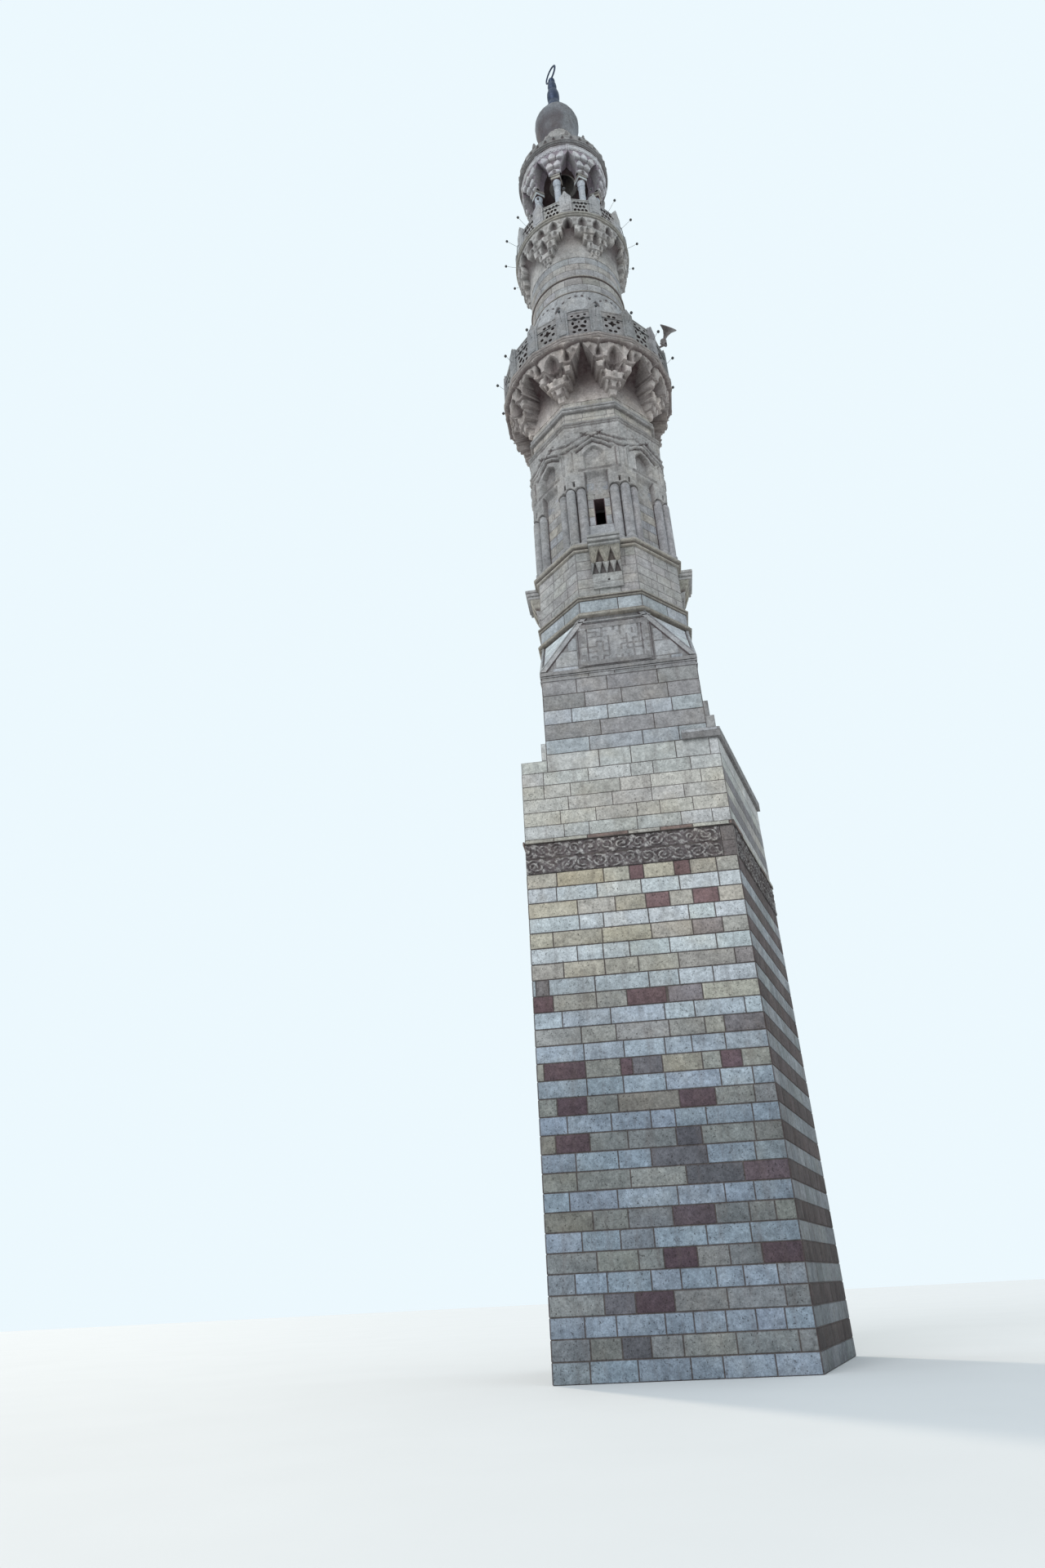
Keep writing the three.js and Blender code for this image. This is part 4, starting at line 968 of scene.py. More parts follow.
# Pale course between two moulded fillets, under the lower octagon
def make_pale_course():
    shape = Shape()
    low = MOULD_Z[0]
    flat = 1.625
    tint = blend(COOL_GREY, PALE, 0.35)
    brown = tone(blend(WARM_GREY, BUFF, 0.3), 0.95)
    foot = [(1.3, 0.0), (1.64, 0.0), (1.70, 0.012), (1.715, 0.04), (1.70, 0.062), (1.67, 0.068),
            (1.672, 0.078), (1.68, 0.095), (1.66, 0.115), (1.645, 0.12), (1.3, 0.12)]
    # Soot and painted shade in the creases and under the lips of both fillets
    moulding(shape, 8, lifted(foot, low), brown, [0, 0.3, 0.0, 0.0, 0.1, 0.8, 0.8, 0.0, 0.0, 0.4, 0])
    head = [(1.3, 0.44), (1.645, 0.44), (1.66, 0.45), (1.675, 0.465), (1.655, 0.478), (1.657, 0.49),
            (1.69, 0.50), (1.695, 0.525), (1.67, 0.545), (1.62, 0.56), (1.3, 0.56)]
    moulding(shape, 8, lifted(head, low), brown, [0, 0.5, 0.1, 0.0, 0.8, 0.8, 0.0, 0.0, 0.0, 0.2, 0])
    body = [(1.3, 0.1), (flat, 0.1), (flat, 0.45), (1.3, 0.45)]
    moulding(shape, 8, lifted(body, low), MORTAR)
    half = half_side(flat)
    for index in range(8):
        lay(shape, flat_frame(45 * index), -half, half, [low + 0.12, low + 0.44], flat,
            lambda c: (shade(tint, 0.86, 1.12), 0.0, 1.4), length=(0.55, 0.9), joint=0.010)
    shape.piece("pale_course", STONE, ["octagon_base_moulding"])


def make_ledge():
    shape = Shape()
    profile = [(1.2, 0.0), (1.605, 0.0), (1.65, 0.012), (1.655, 0.05), (1.625, 0.07), (1.63, 0.085),
               (1.70, 0.10), (1.715, 0.13), (1.705, 0.155), (1.665, 0.168), (1.66, 0.2), (1.2, 0.2)]
    # Soot and painted shade in the ledge's creases and under its lips
    soot_and_shade = [0, 0.2, 0.05, 0.05, 0.65, 0.65, 0.05, 0, 0, 0.3, 0.3, 0]
    moulding(shape, 8, lifted(profile, LEDGE_Z[0]), tone(blend(WARM_GREY, BUFF, 0.2), 1.1), soot_and_shade)
    shape.piece("ledge_fillets", STONE, ["ledge_moulding"])


def teeth(shape, place, half, low, high, reach, count, shift, fill, tint):
    """A row of hanging triangles over hollows dark with painted shade; reach is how far it stands out at its
    foot and its top
    """
    us = np.linspace(-half, half, 61)
    vs = np.linspace(low, high, 21)
    u, v = np.meshgrid(us, vs)
    s = (v - low) / (high - low)
    across = np.abs(((u + half) / (2 * half) * count + shift) % 1 - 0.5) * 2
    share = fill + s * 0.9 - across
    tooth = smooth(share, -0.06, 0.06)
    # Painted shadow lines along the triangles' edges
    line = peak(share - 0.05, 0.08) + peak(share - 0.36, 0.06) * 0.6
    reached = reach[0] + (reach[1] - reach[0]) * s
    out = LOWER_FLAT + reached - 0.075 * (1 - tooth) - 0.015 * np.clip(line, 0, 1)
    out = out + 0.004 * ripple(u, v, 0.06, 47)
    soot_and_shade = np.clip(0.7 * (1 - tooth) + 0.55 * line, 0, 1)
    relief(shape, place, us, vs, np.maximum(out, LOWER_FLAT + 0.012), LOWER_FLAT - 0.05, tint, soot_and_shade)


# Layers of a balconette's slab: half width, foot, top, depth, front and soot, which paints the shade in the
# slab's crease
SLAB_LAYERS = [(0.35, -0.09, -0.045, 1.55, 1.92, 0.0), (0.33, -0.045, 0.0, 1.55, 1.90, 0.0),
               (0.36, 0.0, 0.075, 1.65, 1.955, 0.0), (0.345, 0.075, 0.10, 1.65, 1.94, 0.3),
               (0.36, 0.10, 0.17, 1.65, 1.968, 0.0)]


# Balconettes: a moulded slab on two rows of hanging triangles and a broad tail
def make_balconettes():
    shape = Shape()
    z = LEDGE_Z[0]
    for index in range(4):
        place = flat_frame(90 * index)
        tint = shade(blend(GREY, WARM_GREY, 0.3))
        pale = shade(tone(blend(WARM_GREY, BUFF, 0.35), 0.98))
        teeth(shape, place, 0.335, z - 0.45, z - 0.08, (0.15, 0.27), 2.5, 0.25, 0.35, pale)
        teeth(shape, place, 0.325, z - 0.72, z - 0.44, (0.07, 0.14), 4.0, 0.5, 0.1, tint)
        for half, foot, top, w0, w1, soot_and_shade in SLAB_LAYERS:
            box(shape, place, -half, half, z + foot, z + top, w0, w1, tint, soot_and_shade)
        us = np.linspace(-0.325, 0.325, 53)
        vs = np.linspace(z - 1.10, z - 0.70, 33)
        u, v = np.meshgrid(us, vs)
        up = v - vs[0]
        drip_hole = smooth(0.022 - np.hypot(u - 0.03, up - 0.22), -0.006, 0.006)
        out = LOWER_FLAT + 0.055 + 0.02 * smooth(up, 0.02, 0.08) * (1 - smooth(up, 0.08, 0.14))
        out = out - 0.05 * drip_hole + 0.004 * ripple(u, v, 0.08, 48)
        # The drip hole and the line across the tail are dark with painted shade
        soot_and_shade = 0.9 * smooth(0.024 - np.hypot(u - 0.03, up - 0.22), -0.006, 0.006)
        soot_and_shade = np.maximum(soot_and_shade, 0.6 * peak(up - 0.165, 0.008))
        relief(shape, place, us, vs, out, LOWER_FLAT - 0.05, tint, soot_and_shade)
    names = ["balconette_front", "balconette_right", "balconette_back", "balconette_left"]
    shape.piece("balconette_carving", STONE, names)


# Round-headed ribs at the octagon's corners
def make_ribs():
    shape = Shape()
    low = UPOCT_Z[0]
    foot = [(1.3, 0.0), (1.64, 0.0), (1.65, 0.02), (1.64, 0.06), (1.60, 0.08), (1.3, 0.08)]
    moulding(shape, 8, lifted(foot, low), blend(GREY, WARM_GREY, 0.3))
    r = 0.112
    profile = [(0, 0.06), (r + 0.01, 0.06), (r + 0.02, 0.10), (r + 0.005, 0.145), (r - 0.012, 0.17)]
    head = np.arange(7) * math.pi / 14
    profile += [(r, 0.21)] + [(r * math.cos(a), RIB_TOP + r * math.sin(a)) for a in head] + [(0, RIB_TOP + r)]
    half = half_side(UPPER_FLAT)
    out = UPPER_FLAT + 0.028
    half_step = math.radians(22.5)
    corner = out / math.cos(half_step)
    for index in range(8):
        place = flat_frame(45 * index)
        tint = shade(GREY, 0.88, 1.02)
        for side in (-1, 1):
            x, y, _ = place(side * (half - 0.232), 0.0, out)
            lathe(shape, profile, 16, tint, 0.0, (x, y), low)
            # Dark strips on both sides of the rib: painted shade of the gaps beside it
            for middle, wide in ((0.505, 0.030), (0.268, 0.012)):
                u = side * middle
                box(shape, place, u - wide, u + wide, low + 0.10, low + 1.62, 1.48, 1.512, MORTAR, 0.7, 0.002)
        a = math.radians(45 * index) + half_step
        lathe(shape, profile, 16, tint, 0.0, (corner * math.sin(a), -corner * math.cos(a)), low)
    shape.piece("corner_ribs", STONE, ["colonnettes"])


def line_bump(u, v, a, b, width):
    """1 on the straight line from a to b, fading out at its width"""
    dx, dy = b[0] - a[0], b[1] - a[1]
    t = np.clip(((u - a[0]) * dx + (v - a[1]) * dy) / (dx * dx + dy * dy), 0, 1)
    far = np.hypot(u - a[0] - t * dx, v - a[1] - t * dy)
    return smooth(width - far, 0, width * 0.6)


def path_bump(u, v, points, width):
    """1 on a path of straight lines"""
    return np.maximum.reduce([line_bump(u, v, a, b, width) for a, b in zip(points, points[1:])])


def crossing(u, v, a, b, width):
    """1 on a straight line and on its mirror image"""
    return np.maximum(line_bump(u, v, a, b, width), line_bump(-u, v, a, b, width))


def arcade_face(index, u, v):
    """Distance out, and soot and painted shade, of one face of the blind arcade, at levels above the
    octagon's foot
    """
    half = half_side(ARCADE_FLAT)
    a = np.abs(u)
    plane = np.full_like(u, ARCADE_FLAT)
    # Below the niche the wall stands back under a short sloping soffit, with painted shade on the soffit and
    # along the recess's edges
    middle = smooth(0.275 - a, -0.012, 0.012)
    plane -= 0.115 * middle * (1 - smooth(v, 2.12, 2.26))
    soot_and_shade = 0.12 * middle * smooth(v, 2.08, 2.14) * (1 - smooth(v, 2.22, 2.28))
    soot_and_shade += 0.55 * peak(a - 0.262, 0.018) * (v < 2.24)
    # Heads of the ribs, sunk and dark with painted shade
    for centre in (half - 0.260, half):
        far = np.hypot((a - centre), v - RIB_TOP)
        inside = smooth(0.128 - far, -0.008, 0.008)
        inside = np.maximum(inside, (v < RIB_TOP) * smooth(0.128 - np.abs(a - centre), -0.008, 0.008))
        plane -= 0.10 * inside
        soot_and_shade += 0.7 * inside
    # Niche with a keel head, its frame and the ledge at its foot; painted shade in the niche, by its frame
    # and under the ledge
    niche_deep = 0.06 if index % 2 == 0 else 0.11
    width = np.where(v < 2.80, 0.235, 0.235 * (1 - np.clip((v - 2.80) / 0.26, 0, 1) ** 1.4))
    tall = smooth(v, 2.34, 2.36) * (v < 3.07)
    inside = smooth(width - a, -0.012, 0.012) * tall
    rim = peak(a - width - 0.026, 0.012) * tall
    plane += 0.018 * rim - niche_deep * inside
    soot_and_shade += (0.15 + 0.35 * (index % 2)) * inside * smooth(v, 2.4, 3.05)
    soot_and_shade += 0.4 * rim * (1 - smooth(a, 0.2, 0.25))
    for level in (2.300, 2.335):
        ledge = smooth(0.40 - a, -0.02, 0.02)
        plane += 0.026 * (peak(v - level, 0.011) * ledge)
        soot_and_shade += 0.5 * peak(v - level + 0.018, 0.009) * ledge
    # Hood over the niche and the crossing lines above it, worn here and there; painted shade in the groove
    # under the hood
    kept = 0.45 + 0.55 * smooth(ripple(u + index, v, 0.16, 60 + index), -0.9, 0.1)
    hood = path_bump(a, v, [(0.42, 2.96), (0.22, 3.13), (0.0, 3.27)], 0.042)
    groove = path_bump(a, v, [(0.42, 2.90), (0.22, 3.07), (0.0, 3.21)], 0.026)
    cross = crossing(u, v, (-0.66, 2.98), (0.26, 3.56), 0.042)
    second = crossing(u, v, (-0.66, 3.18), (-0.10, 3.54), 0.032)
    leg = path_bump(a, v, [(0.56, 2.30), (0.56, 2.90), (0.42, 3.06)], 0.034)
    plane += 0.052 * np.maximum.reduce([hood, cross, second * 0.8, leg * 0.8]) * kept - 0.02 * groove
    soot_and_shade += 0.85 * groove * kept
    # Painted shadow lines under the raised ones
    under = np.maximum.reduce([crossing(u, v, (-0.66, 2.915), (0.26, 3.495), 0.028),
                               line_bump(a, v, (0.66, 3.13), (0.10, 3.49), 0.020),
                               line_bump(a, v, (0.515, 2.34), (0.515, 2.90), 0.020)])
    soot_and_shade += 0.80 * under * kept
    # Small pointed hollows over the gaps between the ribs, dark with painted shade
    tear = smooth(0.05 - np.hypot((a - half + 0.128) * 1.9, (v - 1.90) * 0.62), -0.006, 0.006)
    plane -= 0.07 * tear
    soot_and_shade += 0.8 * tear
    # Two fillets run round the head, each with a painted shadow under it
    for level in (3.80, 3.885):
        plane += 0.036 * peak(v - level, 0.017)
        soot_and_shade += 0.75 * peak(v - level + 0.032, 0.011)
    joints = peak((v - 1.90) % 0.27 - 0.135, 0.008)
    course = np.floor((v - 1.90) / 0.27)
    joints = np.maximum(joints, peak((u + 0.17 * course) % 0.42 - 0.21, 0.008))
    plane -= 0.005 * joints
    soot_and_shade += 0.22 * joints
    own = u + index * 3
    plane += 0.006 * ripple(own, v, 0.10, 40 + index) + 0.004 * ripple(own, v, 0.035, 50 + index)
    return plane, np.clip(soot_and_shade, 0, 1)


# Blind arcade: keel niches, hood mouldings and crossing lines on all eight faces
def make_arcade():
    shape = Shape()
    base_z = UPOCT_Z[0]
    half = half_side(ARCADE_FLAT)
    per_face = 64
    us = (np.arange(per_face) + 0.5) / per_face * 2 * half - half
    turn = np.arctan2(us, ARCADE_FLAT)
    levels = np.linspace(1.60, 3.94, 134)
    u, v = np.meshgrid(us, levels)
    angles, columns, soots_and_shades, tints = [], [], [], []
    for index in range(8):
        angles.append(math.radians(45 * index - 180) + turn)
        plane, soot_and_shade = arcade_face(index, u, v)
        shades = 1 + 0.10 * ripple(u + index * 3, v, 0.28, 70 + index)
        tints.append(shaded(tone(blend(GREY, WARM_GREY, 0.4), 1.02), shades))
        columns.append(plane / np.cos(turn)[None, :])
        soots_and_shades.append(soot_and_shade)
    bore = np.tile((UPPER_FLAT - 0.12) / np.cos(turn), 8)
    ring(shape, np.concatenate(angles), levels + base_z, np.concatenate(columns, 1), bore,
         np.concatenate(tints, 1), np.concatenate(soots_and_shades, 1))
    tall = 0.08
    # Two fillets under the corbels, with painted shade under their lips
    for low, reach in ((4.365, 1.580), (4.480, 1.562)):
        profile = [(1.3, 0.0), (reach - 0.014, 0.0), (reach + 0.006, tall * 0.3), (reach + 0.008, tall * 0.7),
                   (reach - 0.012, tall), (1.3, tall)]
        moulding(shape, 8, lifted(profile, base_z + low), blend(GREY, WARM_GREY, 0.3),
                 [0, 0.25, 0.05, 0.0, 0.3, 0])
    shape.piece("keel_arcade", STONE, ["blind_arcade"])


# Lower corbels: eight clusters of niched cells that widen tier by tier between tall recesses,
# under sixteen moulded arcs. Heights are above the foot, half widths in degrees.
# A tier is foot, top, half width at both and reach.
# A niche is centre, half width, foot, spring, apex, depth and soot, which paints the shade inside it.
LOWER_TIERS = [(0.00, 0.17, 2.8, 4.0, 1.70), (0.17, 0.37, 5.5, 6.5, 1.80), (0.37, 0.62, 9.5, 11.0, 1.90),
               (0.62, 0.88, 13.0, 14.0, 2.00), (0.88, 1.41, 15.5, 22.5, 2.11)]
LOWER_NICHES = [(0.0, 5.6, 0.58, 0.95, 1.30, 0.22, 0.75), (11.5, 3.2, 0.80, 1.00, 1.22, 0.07, 0.45),
                (6.5, 2.2, 0.62, 0.72, 0.86, 0.10, 0.8), (8.5, 2.2, 0.40, 0.48, 0.60, 0.08, 0.6),
                (3.5, 1.8, 0.19, 0.26, 0.36, 0.06, 0.5), (11.25, 2.0, 0.96, 1.06, 1.25, 0.09, 0.8),
                (16.5, 2.4, 0.92, 1.10, 1.27, 0.06, 0.4)]
# light is the share of painted light on the solid cells
LOWER_LOOK = {"drift": 0.5, "soft": 0.25, "cell": 2.2, "swell": 0.03, "uneven": 0.014, "spread": 0.16,
              "light": 0.10, "flared": 4}
ARC_LOW = 1.20
ARC_RISE = 0.185


def corbel_tiers(t, s, count, wall, tiers, look, seed):
    """Clusters of cells that widen tier by tier: angle from the middle, radius, solid share and shade; the
    shade makes the solid cells lighter with painted light
    """
    share = 360 / count
    angle = np.degrees(t)
    side = angle % share - share / 2
    cluster = np.floor(angle / share).astype(int) % count
    radius = wall + np.zeros_like(t)
    solid = np.zeros_like(t)
    shades = np.ones_like(t)
    cells_wide = 24
    uneven = np.random.default_rng(seed).uniform(-1, 1, (len(tiers) * count, cells_wide))
    cell = np.clip(((side + share / 2) / look["cell"]).astype(int), 0, cells_wide - 1)
    for index, (foot, top, half0, half1, reach) in enumerate(tiers):
        local = np.clip((s - foot) / (top - foot), 0, 1)
        if index == look["flared"]:
            half = half1 - (half1 - half0) * (1 - np.clip((s - foot) / 0.43, 0, 1) ** 1.7)
        else:
            half = half0 + (half1 - half0) * local
        here = (s >= foot) & (s < top)
        drift = look["drift"] * ripple(t * 3 + index, s * 2, 0.12, seed + 2 + index)
        inside = smooth(half + drift - np.abs(side), -look["soft"], look["soft"])
        chosen = uneven[index * count + cluster, cell]
        face = reach + look["swell"] * local + look["uneven"] * chosen
        radius = np.where(here, wall + (face - wall) * inside, radius)
        solid = np.where(here, inside, solid)
        # Solid cells vary at random and are lighter by the light share: painted light on the parts that stand
        # out
        shades = np.where(here, 1 + look["spread"] * chosen * inside + look["light"] * inside, shades)
    return side, radius, solid, shades


# Sink the niches into the solid cells and darken them with painted shade
def corbel_niches(radius, soot_and_shade, a, s, niches, solid):
    for centre, half, foot, spring, apex, depth, dark in niches:
        share = arch(a - centre, s, half, foot, spring, apex) * solid
        radius, soot_and_shade = carve(radius, soot_and_shade, share, depth, dark)
    return radius, soot_and_shade


def tier_lines(soot_and_shade, a, s, tiers, width):
    """A painted shadow line under every cell shows the step"""
    for foot, _, half0, _, _ in tiers[1:]:
        soot_and_shade = np.maximum(soot_and_shade, 0.5 * peak(s - foot, width) * (a < half0 + 1))
    return soot_and_shade


def make_lower_muqarnas():
    shape = Shape()
    low, high = CORBEL1_Z
    theta = around(768)
    levels = np.linspace(0.0, high - low, 96)
    t, s = np.meshgrid(theta, levels)
    wall = (UPPER_FLAT + 0.012) / np.cos(facing(t, 8))
    side, radius, solid, shades = corbel_tiers(t, s, 8, wall, LOWER_TIERS, LOWER_LOOK, 51)
    a = np.abs(side)
    # The recesses between the clusters curve out under the keel heads, growing darker upwards with painted
    # shadow
    q = np.clip((s - 0.75) / 0.56, 0, 1)
    hollow = wall + 0.55 * q ** 2.2
    shadow = np.interp(s, [0, 0.2, 0.5, 0.75, 1.0, 1.31], [0.0, 0.22, 0.58, 0.84, 0.95, 0.98])
    radius = radius * solid + hollow * (1 - solid)
    radius, soot_and_shade = corbel_niches(radius, shadow * (1 - solid), a, s, LOWER_NICHES, solid)
    # The large middle niche is fluted, with a knob at its foot that stands clear of the painted shade
    flutes = arch(side, s, 5.6, 0.58, 0.95, 1.30)
    radius = radius + 0.018 * np.cos(side / 5.6 * math.pi * 3.5) * flutes * solid
    knob = smooth(0.075 - np.hypot(np.radians(side) * 2.0, s - 0.52), -0.01, 0.03)
    radius = radius + 0.07 * knob
    soot_and_shade = tier_lines(soot_and_shade * (1 - 0.7 * knob), a, s, LOWER_TIERS, 0.012)
    # Sixteen arcs, and the flat faces over them, with painted shadow lines under the arc mouldings
    part = (np.degrees(t) + 11.25) % 22.5 / 11.25 - 1
    line = ARC_LOW + ARC_RISE * np.sqrt(np.clip(1 - np.abs(part) ** 2.4, 0, 1))
    flat = (BALCONY1_R * math.cos(math.pi / 16) - 0.004) / np.cos(np.radians(part * 11.25))
    above = smooth(s - line, -0.010, 0.006)
    radius = radius * (1 - above) + (flat - 0.02) * above
    radius = radius + 0.024 * peak(s - line - 0.022, 0.014)
    radius = radius + 0.014 * peak(s - line - 0.066, 0.010) * (s > line)
    soot_and_shade = soot_and_shade * (1 - above)
    soot_and_shade = np.maximum(soot_and_shade, 0.90 * peak(s - line + 0.010, 0.018) * (s > 1.1))
    soot_and_shade = np.maximum(soot_and_shade, 0.70 * peak(s - line - 0.047, 0.010) * (s > 1.1))
    shades = shades * (1 - above) + above * 1.02
    radius = radius + 0.007 * ripple(t * 2, s, 0.07, 57) + 0.004 * ripple(t * 2, s, 0.025, 58)
    shades = shades * (1 + 0.10 * ripple(t * 2, s, 0.35, 59))
    ring(shape, theta, low + levels, np.maximum(radius, wall - 0.002), wall[0] - 0.05, shaded(CORBEL, shades),
         np.clip(soot_and_shade, 0, 1))
    shape.piece("lower_muqarnas", STONE, ["balcony1_muqarnas"])


# Upper corbels: six clusters and, over them, a row of 24 keel arches with a recess over every gap.
UPPER_TIERS = [(0.00, 0.10, 2.0, 2.6, 1.35), (0.10, 0.30, 4.5, 5.5, 1.385), (0.30, 0.55, 9.0, 10.0, 1.44),
               (0.55, 0.80, 14.0, 15.0, 1.495), (0.80, 1.05, 20.0, 22.0, 1.555)]
UPPER_NICHES = [(0.0, 4.2, 0.48, 0.66, 0.95, 0.13, 0.75), (6.0, 1.6, 0.33, 0.42, 0.53, 0.05, 0.4),
                (8.5, 2.6, 0.58, 0.66, 0.78, 0.06, 0.5), (15.5, 2.8, 0.82, 0.92, 1.03, 0.06, 0.45),
                (9.5, 2.4, 0.82, 0.92, 1.03, 0.05, 0.4), (2.4, 1.6, 0.13, 0.20, 0.28, 0.04, 0.4)]
# light is the share of painted light on the solid cells
UPPER_LOOK = {"drift": 0.6, "soft": 0.3, "cell": 3.0, "swell": 0.02, "uneven": 0.010, "spread": 0.14,
              "light": 0.08, "flared": None}
ROW_LOW = 1.05


def make_upper_muqarnas():
    shape = Shape()
    low, high = CORBEL2_Z
    theta = around(720)
    levels = np.linspace(0.0, high - low, 92)
    t, s = np.meshgrid(theta, levels)
    wall = DRUM_R + 0.012
    side, radius, solid, shades = corbel_tiers(t, s, 6, wall, UPPER_TIERS, UPPER_LOOK, 61)
    a = np.abs(side)
    # The recesses between the clusters curve out, growing darker upwards with painted shadow
    q = np.clip((s - 0.55) / 0.50, 0, 1)
    hollow = wall + 0.20 * q ** 2.2
    shadow = np.interp(s, [0, 0.25, 0.55, 0.8, 1.05], [0.0, 0.10, 0.32, 0.65, 0.92])
    radius = radius * solid + hollow * (1 - solid)
    radius, soot_and_shade = corbel_niches(radius, shadow * (1 - solid), a, s, UPPER_NICHES, solid)
    soot_and_shade = tier_lines(soot_and_shade, a, s, UPPER_TIERS, 0.011)
    # Pale fingers hang at both sides of every recess, lit with painted light and clear of the recess's
    # painted shade
    finger = smooth(1.5 - np.abs(30 - a - 8.0), -0.3, 0.4) * smooth(s, 0.80, 0.86) * (s < 1.06)
    radius = radius * (1 - finger) + 1.60 * finger
    soot_and_shade = soot_and_shade * (1 - finger)
    shades = shades + 0.18 * finger
    # Upper row of keel arches with a ball between them; painted shade in the arches and the deep recesses,
    # and a painted shadow ring round each ball
    row = (s >= ROW_LOW).astype(float)
    radius = radius * (1 - row) + (1.625 + 0.03 * (s - ROW_LOW)) * row
    soot_and_shade = soot_and_shade * (1 - row)
    from_arch = (np.degrees(t) + 7.5) % 15 - 7.5
    share = arch(from_arch, s, 4.4, ROW_LOW, 1.16, 1.375) * row
    radius, soot_and_shade = carve(radius, soot_and_shade, share, 0.12, 0.88)
    deep = arch(30 - a, s, 5.0, 0.80, 1.14, 1.385)
    radius, soot_and_shade = carve(radius, soot_and_shade, deep * row, 0.14, 0.97)
    ball = np.hypot(np.radians(np.abs(from_arch) - 7.5) * 1.65, s - 1.26)
    radius = radius + 0.03 * smooth(0.035 - ball, -0.01, 0.02) * row
    soot_and_shade = np.maximum(soot_and_shade, 0.5 * peak(ball - 0.052, 0.012) * row)
    rib = peak(np.abs(from_arch) - 4.9, 0.5) * row * smooth(1.30 - s, 0.0, 0.05)
    radius = radius + 0.012 * rib
    radius = radius + 0.006 * ripple(t * 2, s, 0.07, 67) + 0.003 * ripple(t * 2, s, 0.025, 68)
    shades = shades * (1 + 0.10 * ripple(t * 2, s, 0.3, 69))
    ring(shape, theta, low + levels, np.maximum(radius, wall - 0.002), wall - 0.05,
         shaded(tone(blend(WARM_GREY, GREY, 0.5), 1.12), shades), np.clip(soot_and_shade, 0, 1))
    shape.piece("upper_muqarnas", STONE, ["balcony2_muqarnas"])


def make_rims():
    shape = Shape()
    low, high = RIM1_Z
    flat = BALCONY1_R * math.cos(math.pi / 16)
    profile = [(0.97, 0.0), (flat - 0.012, 0.0), (flat, 0.015), (flat + 0.004, 0.075), (flat - 0.010, 0.085),
               (flat - 0.008, 0.097), (flat + 0.002, 0.105), (flat, 0.18), (flat - 0.018, high - low),
               (0.97, high - low)]
    # Soot and painted shade in the rim's crease and under its lips
    soot_and_shade = [0, 0.2, 0.1, 0.1, 0.55, 0.4, 0.05, 0.1, 0, 0]
    moulding(shape, 16, lifted(profile, low), tone(CORBEL, 0.72), soot_and_shade)
    shape.piece("lower_rim", STONE, ["balcony1_floor"])
    shape = Shape()
    low, high = RIM2_Z
    profile = [(0.50, 0.0), (1.655, 0.0), (1.675, 0.012), (1.685, 0.045), (1.66, 0.058), (1.655, 0.072),
               (1.675, 0.082), (1.695, 0.10), (BALCONY2_R, 0.13), (1.69, 0.158), (1.672, 0.17),
               (1.668, 0.185), (1.655, high - low), (0.50, high - low)]
    # Soot and painted shade in the rim's creases and under its lips
    soot_and_shade = [0, 0.4, 0.15, 0.1, 0.85, 0.85, 0.3, 0.0, 0.0, 0.35, 0.5, 0.3, 0.1, 0]
    lathe(shape, lifted(profile, low), 128, blend(MOSS, GREY, 0.55), soot_and_shade, closed=True)
    shape.piece("upper_rim", STONE, ["balcony2_floor"])


def within(point, loop):
    """Whether a point is inside a closed outline"""
    hit = False
    for i, k in pairs(len(loop)):
        (x0, y0), (x1, y1) = loop[i], loop[k]
        if (y0 > point[1]) != (y1 > point[1]) and point[0] < (x1 - x0) * (point[1] - y0) / (y1 - y0) + x0:
            hit = not hit
    return hit


# Pierced panels
def pierced(shape, place, outline, holes, back, front, tint, soot_and_shade=0.0):
    """A closed plate with holes through it"""
    points, edges = [], []
    for loop in [outline, *holes]:
        edges += [(len(points) + i, len(points) + k) for i, k in pairs(len(loop))]
        points += [Vector(p) for p in loop]
    verts, _, triangles, _, _, _ = delaunay_2d_cdt(points, edges, [], 0, TINY)
    flat = np.array([[p.x, p.y] for p in verts])
    kept = []
    for triangle in triangles:
        middle = flat[list(triangle)].mean(0)
        if within(middle, outline) and not any(within(middle, hole) for hole in holes):
            kept.append(list(triangle))
    n = len(flat)
    faces = [[i + n for i in t] for t in kept] + [t[::-1] for t in kept]
    # An edge that only one triangle has is on an outline, and gets a wall
    used = dict.fromkeys((t[i], t[k]) for t in kept for i, k in pairs(3))
    for a, b in used:
        if (b, a) not in used:
            faces += [[a, b, b + 2 * n, a + 2 * n], [a + 2 * n, b + 2 * n, b + n, a + n]]
    # The back is dark with painted shade, and so are the walls of any holes, darkest right behind the front
    # face
    layers = np.concatenate([place(flat[:, 0], flat[:, 1], w) for w in (back, front, front - 0.006)])
    dark = np.repeat([0.6 if holes else 0.3, soot_and_shade, 0.95 if holes else soot_and_shade], n)
    shape.add(layers, faces, tint, dark)


def oval(x, y, a, b, turn=0.0, steps=12, sharp=1.0):
    """An oval outline, pointed or fuller where sharp isn't 1"""
    c, s = math.cos(turn), math.sin(turn)
    points = []
    for i in range(steps):
        t = TURN * i / steps
        px = a * math.copysign(abs(math.cos(t)) ** sharp, math.cos(t))
        py = b * math.copysign(abs(math.sin(t)) ** sharp, math.sin(t))
        points.append((x + px * c - py * s, y + px * s + py * c))
    return points


def flower_holes(half, low, high):
    """A lobed hole in the middle with eight round ones about it"""
    y0, tall = (low + high) / 2, (high - low) / 2
    lobed = []
    for i in range(32):
        t = TURN * i / 32
        r = 0.085 + 0.024 * math.cos(4 * t)
        lobed.append((r * math.cos(t), y0 + r * math.sin(t)))
    holes = [lobed]
    for i in range(8):
        t = TURN * (i + 0.5) / 8
        holes.append(oval(half * 0.78 * math.cos(t), y0 + tall * 0.78 * math.sin(t), 0.048, 0.052, t, 10))
    return holes


